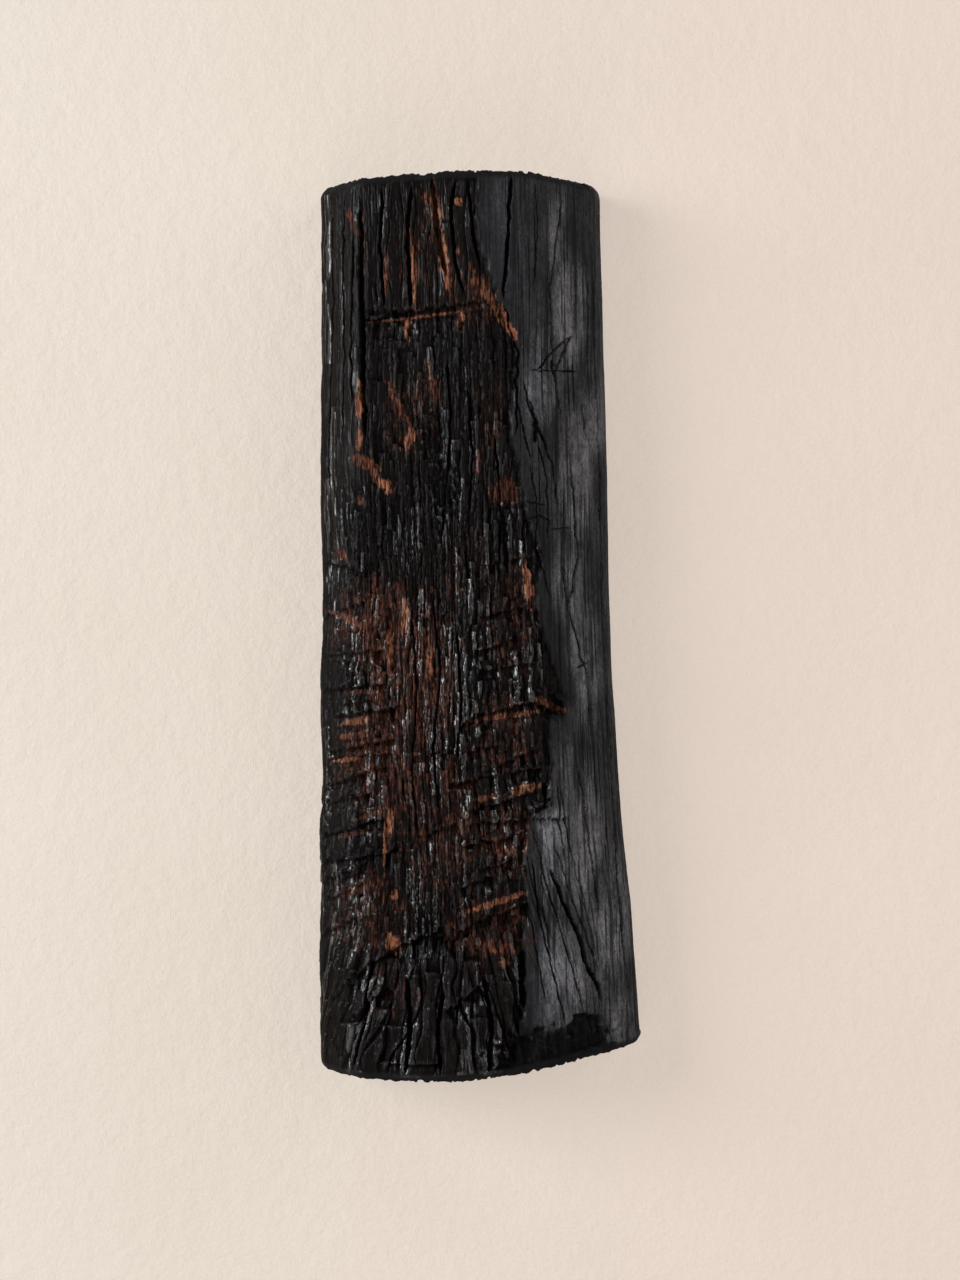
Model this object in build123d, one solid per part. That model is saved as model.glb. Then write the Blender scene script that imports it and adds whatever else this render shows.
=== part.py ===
from build123d import *

import math
import os

# A length of old hewn timber, burnt black, with the flush hangers that hold it on a wall.
# The timber hangs upright. +Z is up, -Y faces the room and the wall is the plane y = 0. The origin is
# halfway between the two wall screws that carry it. All sizes are in millimetres.

# Timber: its length and the place of the hanging line on it
LENGTH = 600.0
TOP_ABOVE_HANGING = 100.0

# Timber: width each side of the hanging line's centre, and depth off the wall side
LEFT_REACH = 96.0
TOP_RIGHT_REACH = 94.0
BOTTOM_RIGHT_REACH = 122.5
TOP_DEPTH = 80.0
BOTTOM_DEPTH = 88.0
FLARE_START = 330.0  # below the top end, where the right side begins to spread
RIGHT_REACH_AT_FLARE = 102.5

# Timber: how the front rolls over into the sides
LEFT_FLANK = 46.0  # flat height of the left side
LEFT_BEVEL = 27.0
LEFT_SHOULDER_DROP = 5.0
RIGHT_FLANK = 26.0
RIGHT_BEVEL = 50.0
RIGHT_SHOULDER_DROP = 12.0
LEFT_FLANK_R = 20.0
LEFT_SHOULDER_R = 22.0
CREST_X = -4.0
CREST_R = 180.0
RIGHT_SHOULDER_R = 60.0
RIGHT_FLANK_R = 28.0

# Sawn ends, as seen from the front: each is out of square and its corners are worn round
TOP_PEAK_X = 41.0  # where the top end stands proudest
TOP_LEFT_FALL = 11.0
TOP_RIGHT_FALL = 2.5
BOTTOM_PEAK_X = 3.0  # where the bottom end hangs lowest
BOTTOM_LEFT_RISE = 3.0
BOTTOM_RIGHT_RISE = 23.0
END_PEAK_R = 150.0
END_CORNER_R = 12.0
END_FRONT_R = 9.0  # the arris between an end and the front

# Char: the burnt layer over the front, the sides and the ends. The back is bare wood
CHAR = 4.0

# The hewn hollow down the front
HOLLOW_TOP = 90.0  # below the top end
HOLLOW_LENGTH = 400.0
HOLLOW_R = 130.0
HOLLOW_CENTRE = -22.0
HOLLOW_BITE = 9.0

# Adze cuts across the hollow: (x, distance below the top end, width, slope in degrees).
# Each bites in square on its upper side and rises back to the surface below
ADZE_FROM_CREST = 4.0  # how far behind the front's crest each cut runs out
ADZE_STEP = 6.5
ADZE_RAMP = 30.0
ADZE_CUTS = [
    (-52, 357, 62, 6),
    (-51, 382, 66, 8),
    (-50, 430, 64, 14),
    (-50, 458, 62, 20),
    (-44, 512, 66, 27),
    (42, 363, 70, 12),
    (38, 402, 66, 14),
    (34, 442, 64, 11),
    (28, 494, 74, 22),
]

# Keyhole hanger plates, screwed on the back
HANGER_SPACING = 100.0
PLATE_LENGTH = 62.0
PLATE_WIDTH = 20.0
PLATE_THICKNESS = 2.0
KEYHOLE_ENTRY_R = 5.0
KEYHOLE_SLOT_R = 2.5
KEYHOLE_TRAVEL = 12.0  # from the entry's centre up to the seat

# The wall screw's room behind each plate
HEAD_ROOM_CLEARANCE = 1.0  # all round the keyhole's entry
HEAD_ROOM_DEPTH = 11.0

# Countersunk wood screws, two to a plate
SCREW_SPACING = 46.0
SCREW_LENGTH = 30.0
SCREW_SHANK_R = 2.0
SCREW_HEAD_R = 4.0
SCREW_TIP_LENGTH = 5.0
SCREW_TIP_R = 0.4
SCREW_HOLE_CLEARANCE = 0.05
CROSS_LENGTH = 4.6
CROSS_WIDTH = 1.0
CROSS_DEPTH = 1.3

# Felt wall pads
PAD_R = 11.0
PAD_THICKNESS = 3.0
PAD_ROUND = 0.6
PAD_INSET = 26.0  # pad centre from the side of the timber
PAD_FROM_TOP = 30.0
PAD_FROM_BOTTOM = 52.0

# Places worked out from the sizes above
BACK = -PAD_THICKNESS
TOP = TOP_ABOVE_HANGING
BOTTOM = TOP - LENGTH
PLATE_MIDDLE = -KEYHOLE_TRAVEL / 2  # height of each plate's middle, so that the seats are at z = 0
HANGERS = {"left": -HANGER_SPACING / 2, "right": HANGER_SPACING / 2}
TOOL = 400.0  # more than the timber's width or depth, for what trims it
SKIN = 0.01  # how far a cutter starts outside the face that it enters


def right_reach(below_top):
    """The timber's right side at a distance below its top end, on the straight runs between stations."""
    if below_top <= FLARE_START:
        share = below_top / FLARE_START
        return TOP_RIGHT_REACH + share * (RIGHT_REACH_AT_FLARE - TOP_RIGHT_REACH)
    share = (below_top - FLARE_START) / (LENGTH - FLARE_START)
    return RIGHT_REACH_AT_FLARE + share * (BOTTOM_RIGHT_REACH - RIGHT_REACH_AT_FLARE)


def depth_at(below_top):
    return TOP_DEPTH + below_top / LENGTH * (BOTTOM_DEPTH - TOP_DEPTH)


def rounded_face(corners):
    """A flat face round (x, y, radius) corners: a corner with a radius gets an arc, the rest stay sharp."""
    rounded = []
    for i, (x, y, radius) in enumerate(corners):
        corner = Vector(x, y)
        before = (Vector(*corners[i - 1][:2]) - corner).normalized()
        after = (Vector(*corners[(i + 1) % len(corners)][:2]) - corner).normalized()
        half_angle = math.radians(before.get_angle(after)) / 2
        tangent_length = radius / math.tan(half_angle)
        middle = corner + (before + after).normalized() * (radius / math.sin(half_angle) - radius)
        rounded.append((corner + before * tangent_length, middle, corner + after * tangent_length))
    edges = []
    for i, (start, middle, end) in enumerate(rounded):
        if corners[i][2] > 0:
            edges.append(Edge.make_three_point_arc(start, middle, end))
        next_start = rounded[(i + 1) % len(rounded)][0]
        if (next_start - end).length > SKIN:
            edges.append(Edge.make_line(end, next_start))
    return Face(Wire(edges))


def section(below_top, inset):
    """The timber's cross-section, drawn in from the burnt sides by inset. The back stays where it is."""
    left = -LEFT_REACH + inset
    right = right_reach(below_top) - inset
    front = BACK - depth_at(below_top) + inset
    corners = [
        (left, BACK, 0),
        (left, BACK - LEFT_FLANK, LEFT_FLANK_R - inset),
        (left + LEFT_BEVEL, front + LEFT_SHOULDER_DROP, LEFT_SHOULDER_R - inset),
        (CREST_X, front, CREST_R - inset),
        (right - RIGHT_BEVEL, front + RIGHT_SHOULDER_DROP, RIGHT_SHOULDER_R - inset),
        (right, BACK - RIGHT_FLANK, RIGHT_FLANK_R - inset),
        (right, BACK, 0),
    ]
    return Plane.XY.offset(TOP - below_top) * rounded_face(corners)


def end_outline(inset):
    """What is left between the two sawn ends, as seen from the front."""
    sides = TOOL / 2
    worn = END_CORNER_R - inset
    left = -LEFT_REACH + inset
    top_right = right_reach(TOP_RIGHT_FALL) - inset
    bottom_right = right_reach(LENGTH - BOTTOM_RIGHT_RISE) - inset
    top = TOP - inset
    top_left_z = top - TOP_LEFT_FALL
    top_right_z = top - TOP_RIGHT_FALL
    bottom = BOTTOM + inset
    bottom_left_z = bottom + BOTTOM_LEFT_RISE
    bottom_right_z = bottom + BOTTOM_RIGHT_RISE
    corners = [
        (-sides, top_left_z - 2 * worn, 0),
        (left, top_left_z - 2 * worn, 0),
        (left, top_left_z, worn),
        (TOP_PEAK_X, top, END_PEAK_R),
        (top_right, top_right_z, worn),
        (top_right, top_right_z - 2 * worn, 0),
        (sides, top_right_z - 2 * worn, 0),
        (sides, bottom_right_z + 2 * worn, 0),
        (bottom_right, bottom_right_z + 2 * worn, 0),
        (bottom_right, bottom_right_z, worn),
        (BOTTOM_PEAK_X, bottom, END_PEAK_R),
        (left, bottom_left_z, worn),
        (left, bottom_left_z + 2 * worn, 0),
        (-sides, bottom_left_z + 2 * worn, 0),
    ]
    return extrude(Plane.XZ * rounded_face(corners), amount=TOOL, both=True)


def side_outline(inset):
    """What is left between the two ends as seen from the side, with the front arrises worn round."""
    worn = END_FRONT_R - inset
    top = TOP - inset
    bottom = BOTTOM + inset
    clear_of_front = BACK - TOOL / 2
    front_top = BACK - TOP_DEPTH + inset
    front_bottom = BACK - BOTTOM_DEPTH + inset
    corners = [
        (BACK, top, 0),
        (front_top, top, worn),
        (front_top, top - worn, 0),
        (clear_of_front, top - worn, 0),
        (clear_of_front, bottom + worn, 0),
        (front_bottom, bottom + worn, 0),
        (front_bottom, bottom, worn),
        (BACK, bottom, 0),
    ]
    return extrude(Plane.YZ * rounded_face(corners), amount=TOOL, both=True)


def hollow_cutter(inset):
    """The long shallow hollow: a barrel in front of the timber that bites deepest halfway down."""
    middle = HOLLOW_TOP + HOLLOW_LENGTH / 2
    half = HOLLOW_LENGTH / 2 + inset
    end_r = HOLLOW_R - HOLLOW_BITE
    straights = Polyline((end_r, -half), (0, -half), (0, half), (end_r, half))
    bulge = ThreePointArc((end_r, half), (HOLLOW_R + inset, 0), (end_r, -half))
    barrel = revolve(Plane.XZ * make_face(straights + bulge), Axis.Z)
    axis = BACK - depth_at(middle) + HOLLOW_BITE - HOLLOW_R
    return Pos(HOLLOW_CENTRE, axis, TOP - middle) * barrel


def adze_cutter(x, below_top, width, slope):
    """One adze cut: square into the wood at its upper edge, and rising to nothing along the grain below."""
    surface = BACK - depth_at(below_top) + ADZE_FROM_CREST
    outline = Polyline(
        (surface + ADZE_STEP, 0),
        (surface, -ADZE_RAMP),
        (surface - TOP_DEPTH, -ADZE_RAMP),
        (surface - TOP_DEPTH, 0),
        close=True,
    )
    wedge = extrude(Plane.YZ * make_face(outline), amount=width / 2, both=True)
    return Pos(x, 0, TOP - below_top) * Rot(0, -slope, 0) * wedge


def timber(inset):
    """The whole timber with nothing taken off for its fittings, drawn in by inset from every burnt face."""
    stations = [0, FLARE_START / 2, FLARE_START, (FLARE_START + LENGTH) / 2, LENGTH]
    body = loft([section(below_top, inset) for below_top in stations], ruled=True)
    body &= end_outline(inset)
    body &= side_outline(inset)
    body -= hollow_cutter(inset)
    return body


def along_back(x, z, depth=0.0):
    """A place at a depth in the timber's back, whose local +Z points out of it, towards the wall."""
    return Plane((x, BACK - depth, z), x_dir=(1, 0, 0), z_dir=(0, 1, 0))


def upright_slot(length, width, height):
    """A round-ended block with its length upright, standing on a place on the back."""
    return extrude(Rot(0, 0, 90) * SlotOverall(length, width), amount=height)


def screw_places():
    """Where the plate screws go, as {name: (x, z)}."""
    ends = {"upper": SCREW_SPACING / 2, "lower": -SCREW_SPACING / 2}
    return {
        f"plate_screw_{side}_{end}": (x, PLATE_MIDDLE + rise)
        for side, x in HANGERS.items()
        for end, rise in ends.items()
    }


def keyhole_cutter(x):
    """The round entry and the slot above it, right through a plate."""
    through = 2 * (PLATE_THICKNESS + SKIN)  # half of it lies outside the back, where the plate is
    entry = along_back(x, -KEYHOLE_TRAVEL) * Cylinder(KEYHOLE_ENTRY_R, through)
    seat = along_back(x, 0) * Cylinder(KEYHOLE_SLOT_R, through)
    neck = along_back(x, PLATE_MIDDLE) * Box(2 * KEYHOLE_SLOT_R, KEYHOLE_TRAVEL, through)
    return entry + seat + neck


def screw_axis(x, z, depth):
    """A place at a depth down a plate screw, from the top of its head, flush with the plate's face."""
    return along_back(x, z, depth - PLATE_THICKNESS)


def screw_head(x, z):
    height = SCREW_HEAD_R - SCREW_SHANK_R
    return screw_axis(x, z, height / 2) * Cone(SCREW_SHANK_R, SCREW_HEAD_R, height)


def screw_hole_cutter(x, z):
    """A plate screw's hole with its 90 degree countersink, which takes the head flush."""
    hole_r = SCREW_SHANK_R + SCREW_HOLE_CLEARANCE
    return screw_axis(x, z, SCREW_LENGTH / 2) * Cylinder(hole_r, SCREW_LENGTH) + screw_head(x, z)


def keyhole_plate(x):
    plate = along_back(x, PLATE_MIDDLE) * upright_slot(PLATE_LENGTH, PLATE_WIDTH, PLATE_THICKNESS)
    plate -= keyhole_cutter(x)
    for screw_x, screw_z in screw_places().values():
        if screw_x == x:
            plate -= screw_hole_cutter(screw_x, screw_z)
    return plate


def plate_screw(x, z):
    """A countersunk wood screw, its head seated in the plate and its shank in the timber."""
    shank_end = SCREW_LENGTH - SCREW_TIP_LENGTH
    shank = screw_axis(x, z, shank_end / 2) * Cylinder(SCREW_SHANK_R, shank_end)
    tip_middle = SCREW_LENGTH - SCREW_TIP_LENGTH / 2
    tip = screw_axis(x, z, tip_middle) * Cone(SCREW_TIP_R, SCREW_SHANK_R, SCREW_TIP_LENGTH)
    screw = screw_head(x, z) + shank + tip
    for turn in (0, 90):
        screw -= screw_axis(x, z, 0) * Rot(0, 0, turn) * Box(CROSS_LENGTH, CROSS_WIDTH, 2 * CROSS_DEPTH)
    return screw


def fittings_room():
    """Everything cut into the back: the plate screws' holes and room for the wall screws' heads."""
    room_width = 2 * (KEYHOLE_ENTRY_R + HEAD_ROOM_CLEARANCE)
    room_length = KEYHOLE_TRAVEL + room_width
    cutters = [screw_hole_cutter(x, z) for x, z in screw_places().values()]
    for x in HANGERS.values():
        floor = along_back(x, PLATE_MIDDLE, HEAD_ROOM_DEPTH)
        cutters.append(floor * upright_slot(room_length, room_width, HEAD_ROOM_DEPTH + SKIN))
    return cutters


def pad_places():
    """Where the felt pads go, as {name: (x, z)}."""
    heights = {"top": PAD_FROM_TOP, "bottom": LENGTH - PAD_FROM_BOTTOM}
    places = {}
    for end, below_top in heights.items():
        places[f"felt_pad_{end}_left"] = (-LEFT_REACH + PAD_INSET, TOP - below_top)
        places[f"felt_pad_{end}_right"] = (right_reach(below_top) - PAD_INSET, TOP - below_top)
    return places


def felt_pad(x, z):
    pad = along_back(x, z, -PAD_THICKNESS / 2) * Cylinder(PAD_R, PAD_THICKNESS)
    wall_side = pad.edges().sort_by(Axis.Y)[-1]
    return fillet(wall_side, PAD_ROUND)


def build():
    """Every piece by name."""
    cuts = [adze_cutter(*cut) for cut in ADZE_CUTS]
    core = timber(CHAR)
    crust = timber(0) - core
    for cut in cuts:
        core -= cut
        crust -= cut
    for cutter in fittings_room():
        core -= cutter
    pieces = {"timber_core": core, "char_crust": crust}
    for side, x in HANGERS.items():
        pieces[f"keyhole_plate_{side}"] = keyhole_plate(x)
    for name, place in screw_places().items():
        pieces[name] = plate_screw(*place)
    for name, place in pad_places().items():
        pieces[name] = felt_pad(*place)
    return pieces


def main():
    os.makedirs("parts", exist_ok=True)
    for name, piece in build().items():
        export_step(piece, f"parts/{name}.step")


main()
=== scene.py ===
"""A block of old hewn timber, burnt black, hung upright on a pale plastered wall.

Lengths in the sculpting code are millimetres, and become metres when a mesh is made. X runs across the
timber, Z up it, and -Y is out of the wall towards the room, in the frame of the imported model.
"""

import math

import bmesh
import bpy
import numpy as np
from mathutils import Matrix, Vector


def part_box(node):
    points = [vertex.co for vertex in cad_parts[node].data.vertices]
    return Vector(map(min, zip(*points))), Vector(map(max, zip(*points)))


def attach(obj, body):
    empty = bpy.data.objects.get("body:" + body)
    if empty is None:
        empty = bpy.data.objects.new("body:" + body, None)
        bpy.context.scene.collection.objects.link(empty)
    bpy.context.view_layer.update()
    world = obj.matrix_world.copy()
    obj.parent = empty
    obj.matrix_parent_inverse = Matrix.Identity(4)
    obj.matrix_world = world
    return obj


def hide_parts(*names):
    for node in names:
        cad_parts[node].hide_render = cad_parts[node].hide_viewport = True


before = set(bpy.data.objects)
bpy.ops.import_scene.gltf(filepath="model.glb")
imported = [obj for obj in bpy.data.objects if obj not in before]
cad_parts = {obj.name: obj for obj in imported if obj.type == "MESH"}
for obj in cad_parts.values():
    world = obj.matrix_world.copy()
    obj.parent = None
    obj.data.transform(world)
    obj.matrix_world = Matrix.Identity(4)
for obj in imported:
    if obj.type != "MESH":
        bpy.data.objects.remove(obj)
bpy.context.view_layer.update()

MM = 0.001


def mm_box(node):
    """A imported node's lowest and highest corner, in millimetres."""
    low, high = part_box(node)
    return np.array(low) / MM, np.array(high) / MM


CRUST_LOW, CRUST_HIGH = mm_box("char_crust")
LEFT, BACK, TOP, BOTTOM = CRUST_LOW[0], CRUST_HIGH[1], CRUST_HIGH[2], CRUST_LOW[2]

# The eye that looks at the hung timber, and the plane on which its front is laid out
EYE_X, EYE_Z, EYE_DISTANCE = 12.0, -210.0, 1600.0
PLAN_Y = -75.0

# How fine the sculpted skin is
COLUMN_PITCH = 0.5
ROW_PITCH = 0.75
CAP_ROWS = 56
ARRIS_ROWS = 9
ARRIS_R = 6.0
CORNER_STEPS = 24  # points round each rounded corner of the cross-section
# The rows of an end start this near its middle, and crowd towards its arris
CAP_START, CAP_CROWDING = 0.985, 0.8
# How far from the tips of the timber the cross-sections lie that its two ends are drawn from
TOP_SECTION, BOTTOM_SECTION = 4.0, 8.0
# How far inside the skin its inner face lies: in general, and at the back's sides and ends
INSET = 21.0
RIM = 1.0
END_RIM = 5.0
INSET_RUN = 24.0  # how far off the back the inner face is fully inset
INNER_STEP = 9  # the inner face keeps one row and one column of the skin in so many
INNER_START = 16.0  # and its columns start this far round the skin from the back's arrises


# ---------------------------------------------------------------- noise and smooth steps

WORD = 0xFFFFFFFF  # keeps a random number's working to 32 bits


def lattice(i, j, seed):
    """A random number from 0 to 1 for each whole-number place (i, j)."""
    h = np.asarray(i, np.int64) * 374761393 + np.asarray(j, np.int64) * 668265263 + seed * 144269
    h = h & WORD
    h = ((h ^ (h >> 13)) * 1274126177) & WORD
    return ((h ^ (h >> 16)) & 0xFFFF) / 65535.0


def noise(x, y, seed):
    """Smooth gradient noise from about -1 to 1, with lumps one unit across."""
    i, j = np.floor(x), np.floor(y)
    u, v = x - i, y - j
    fade_u, fade_v = u * u * u * (u * (6 * u - 15) + 10), v * v * v * (v * (6 * v - 15) + 10)

    def corner(di, dj):
        turn = lattice(i + di, j + dj, seed) * 2 * np.pi
        return np.cos(turn) * (u - di) + np.sin(turn) * (v - dj)

    low = corner(0, 0) * (1 - fade_u) + corner(1, 0) * fade_u
    high = corner(0, 1) * (1 - fade_u) + corner(1, 1) * fade_u
    return (low * (1 - fade_v) + high * fade_v) * 1.5


def layered(x, y, seed, layers=4):
    """Noise with finer and finer layers on it."""
    total = 0.0
    for layer in range(layers):
        total = total + noise(x * 2**layer, y * 2**layer, seed + layer) / 2**layer
    return total


def blurred(field, rows, columns):
    """A grid averaged over a window of rows and columns."""
    for axis, reach in ((0, rows), (1, columns)):
        pad = [(0, 0), (0, 0)]
        pad[axis] = (reach + 1, reach)
        total = np.cumsum(np.pad(field, pad, mode="edge"), axis=axis)
        size = field.shape[axis]
        upper = np.take(total, np.arange(2 * reach + 1, 2 * reach + 1 + size), axis=axis)
        field = (upper - np.take(total, np.arange(size), axis=axis)) / (2 * reach + 1)
    return field


def ramp(low, high, value):
    """0 below low and 1 above high, with a smooth rise between. Runs the other way if low is above high."""
    t = np.clip((value - low) / (high - low), 0, 1)
    return t * t * (3 - 2 * t)


def along(points, value):
    """The second number of (place, number) points at each value, joined smoothly."""
    places, numbers = np.array(sorted(points), float).T
    fine = np.linspace(places[0], places[-1], 400)
    coarse = np.interp(fine, places, numbers)
    window = np.hanning(41)
    padded = np.pad(coarse, 20, mode="reflect", reflect_type="odd")
    return np.interp(value, fine, np.convolve(padded, window / window.sum(), "valid"))


# ---------------------------------------------------------------- the timber's plain form

# The right side leans out towards the foot: (height, X)
RIGHT_SIDE = [
    (100, 93.5), (30, 95), (-60, 97.3), (-150, 99.2), (-225, 102),
    (-290, 105.6), (-345, 110), (-400, 115.5), (-450, 119.5), (-500, 122),
]
# The sawn ends are out of square: (X, height)
TOP_END = [
    (-96, 93), (-75, 94), (-40, 96), (-10, 98.5), (20, 99.5), (45, 100), (70, 99.3), (94, 97.5),
]
BOTTOM_END = [
    (-96, -498), (-60, -499), (0, -500), (25, -497), (55, -492.5), (80, -488), (100, -486), (122, -483),
]
# The cross-section on the reference width and depth: (across, off the back, rounding)
SECTION_WIDTH, SECTION_DEPTH = 198.0, 84.0
SECTION = [
    (9, 0, 0), (0, 0, 4), (0, 44, 22), (26, 79, 24), (92, 84, 150), (150, 72, 60),
    (198, 28, 30), (198, 0, 4), (189, 0, 0),
]
TOP_FRONT, BOTTOM_FRONT = 79.5, 86.5  # how far the front stands off the back at each end


def left_side(z):
    """X of the left side at a height: nearly upright, a little wavy."""
    return LEFT + 1.2 + 0.9 * noise(z / 90.0, 0 * z + 3.3, 5)


def right_side(z):
    """X of the right side at a height."""
    return along(RIGHT_SIDE, z)


def front_depth(z):
    """How far the front stands off the back at a height."""
    return TOP_FRONT + (BOTTOM_FRONT - TOP_FRONT) * (TOP - z) / (TOP - BOTTOM)


def top_end(x):
    """Height of the top end across the timber."""
    return along(TOP_END, x) + 0.6 * noise(x / 24.0, 0 * x, 8)


def bottom_end(x):
    """Height of the bottom end across the timber."""
    return along(BOTTOM_END, x) + 0.6 * noise(x / 15.0, 0 * x, 9)


def section_outline(pitch):
    """The cross-section as evenly spaced (across, off the back) points, their outward normals, and how
    far round the section each one is."""
    points = []
    for n, (a, b, radius) in enumerate(SECTION):
        here = np.array([a, b], float)
        if radius == 0:
            points.append(here)
            continue
        before = np.array(SECTION[n - 1][:2], float) - here
        after = np.array(SECTION[n + 1][:2], float) - here
        before, after = before / np.linalg.norm(before), after / np.linalg.norm(after)
        half = math.acos(np.clip(before @ after, -1, 1)) / 2
        middle = (before + after) / np.linalg.norm(before + after)
        centre = here + middle * radius / math.sin(half)
        start = here + before * radius / math.tan(half) - centre
        end = here + after * radius / math.tan(half) - centre
        for share in np.linspace(0, 1, CORNER_STEPS):
            spoke = start * (1 - share) + end * share
            points.append(centre + spoke / np.linalg.norm(spoke) * radius)
    points = np.array(points)
    run = np.r_[0, np.cumsum(np.linalg.norm(np.diff(points, axis=0), axis=1))]
    even = np.linspace(0, run[-1], int(run[-1] / pitch) + 1)
    outline = np.stack([np.interp(even, run, points[:, k]) for k in (0, 1)], 1)
    tangent = np.gradient(outline, axis=0)
    tangent /= np.linalg.norm(tangent, axis=1)[:, None]
    return outline, np.stack([-tangent[:, 1], tangent[:, 0]], 1), even


def place_on_side(across, off_back, z):
    """X and Y, at a height, of a point on the reference cross-section."""
    x = left_side(z) + across / SECTION_WIDTH * (right_side(z) - left_side(z))
    return x, BACK - off_back * front_depth(z) / SECTION_DEPTH


def end_rows(across, off_back, normal, edge_z, height, up, inset):
    """Rows from the middle of an end out to its arris and over it, with their normals and end masks."""
    z = np.full(across.shape, float(edge_z))
    x, y = place_on_side(across, off_back, z)
    middle = np.array([(x[0] + x[-1]) / 2, BACK])
    inward = middle - np.stack([x, y], 1)
    reach = np.linalg.norm(inward, axis=1)
    inward = inward / reach[:, None]
    turn = np.linspace(np.pi / 2, 0, ARRIS_ROWS)[:, None]
    shrink = np.linspace(CAP_START, 0, CAP_ROWS, endpoint=False)[:, None] ** CAP_CROWDING
    on_cap = ARRIS_R + (reach - ARRIS_R) * shrink
    on_arris = ARRIS_R * (1 - np.cos(turn)) + 0 * reach
    drop = np.concatenate([0 * on_cap, ARRIS_R * (1 - np.sin(turn)) + 0 * reach])
    distance = np.concatenate([on_cap, on_arris])
    flat_x = x + inward[:, 0] * distance
    flat_y = y + inward[:, 1] * distance
    flat_z = height(flat_x) - up * (drop + inset(BACK - flat_y))
    turns = np.concatenate([np.full((CAP_ROWS, 1), np.pi / 2), turn])
    side = np.stack([normal[:, 0], -normal[:, 1], 0 * across], 1)
    out = np.cos(turns)[..., None] * side + np.sin(turns)[..., None] * np.array([0, 0, up])
    return np.stack([flat_x, flat_y, flat_z], 2), out, np.sin(turns) + 0 * reach


def wrap(across, off_back, normal, inset):
    """A closed-ended grid of places, normals and end masks. Rows run from the middle of the top end over
    its arris, down the sides and front, and in to the middle of the bottom end. Columns run round the
    front from the left back arris to the right."""
    side_rows = int((TOP - BOTTOM - 2 * ARRIS_R) / ROW_PITCH)
    top = end_rows(across, off_back, normal, TOP - TOP_SECTION, top_end, 1, inset)
    bottom = end_rows(across, off_back, normal, BOTTOM + BOTTOM_SECTION, bottom_end, -1, inset)
    share = np.linspace(0, 1, side_rows + 2)[1:-1, None]
    z = top[0][-1, :, 2] * (1 - share) + bottom[0][-1, :, 2] * share
    x, y = place_on_side(across, off_back, z)
    out = np.stack([normal[:, 0], -normal[:, 1], 0 * across], 1)
    place = np.concatenate([top[0], np.stack([x, y, z], 2), bottom[0][::-1]])
    out = np.concatenate([top[1], np.broadcast_to(out, (side_rows,) + out.shape), bottom[1][::-1]])
    return place, out, np.concatenate([top[2], 0 * z, bottom[2][::-1]])


class Skin:
    """The timber's outer skin before any carving."""

    def __init__(self):
        outline, normal, self.girth = section_outline(COLUMN_PITCH)
        self.across, self.off_back = outline.T
        no_inset = np.zeros_like  # the ends of the skin are not drawn in
        self.place, self.out, self.end = wrap(self.across, self.off_back, normal, no_inset)
        self.x, self.y, self.z = np.moveaxis(self.place, 2, 0)
        spread = EYE_DISTANCE + PLAN_Y
        self.plan_x = EYE_X + (self.x - EYE_X) * spread / (EYE_DISTANCE + self.y)
        self.plan_z = EYE_Z + (self.z - EYE_Z) * spread / (EYE_DISTANCE + self.y)
        self.grain = np.broadcast_to(self.girth, self.x.shape)


def inner_wrap(skin, slack):
    """The coarse inside face of the burnt skin: the rows of the skin that it keeps, and its places.
    Slack draws it in further, for the wood inside."""
    first = int(INNER_START / COLUMN_PITCH)
    columns = np.r_[0, np.arange(first, len(skin.girth) - first, INNER_STEP), len(skin.girth) - 1]
    rows = np.r_[np.arange(0, len(skin.place) - 1, INNER_STEP), len(skin.place) - 1]
    across, off_back = skin.across[columns], skin.off_back[columns]
    heart = SECTION_WIDTH / 2
    reach = np.hypot(across - heart, off_back)
    inset = RIM + slack + (INSET - RIM) * ramp(0, INSET_RUN, off_back)
    across = across + (heart - across) / reach * inset
    off_back = off_back * (1 - inset / reach)
    normal = np.stack([across - heart, off_back], 1)
    normal /= np.linalg.norm(normal, axis=1)[:, None]

    def end_inset(depth):
        return END_RIM + slack + (INSET - END_RIM) * ramp(0, INSET_RUN, depth)

    place = wrap(across, off_back, normal, end_inset)[0]
    return rows, place[rows]


# ---------------------------------------------------------------- marks on the timber

# Where the rough hewn front gives way to the smooth right side: (height, X) on the plan
ROUGH_EDGE = [
    (96, 11), (53, 12), (14, 25), (7, 29), (-20, 38), (-72, 33), (-98, 40), (-118, 41),
    (-144, 50), (-155, 55), (-174, 50), (-189, 50), (-220, 60), (-237, 65), (-249, 71),
    (-259, 60), (-319, 60), (-327, 45), (-355, 42), (-383, 44), (-413, 41), (-454, 41), (-500, 35),
]


def rough_edge(z):
    """X of the rough edge at a height on the plan."""
    places, numbers = np.array(sorted(ROUGH_EDGE), float).T
    return np.interp(z, places, numbers)


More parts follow.
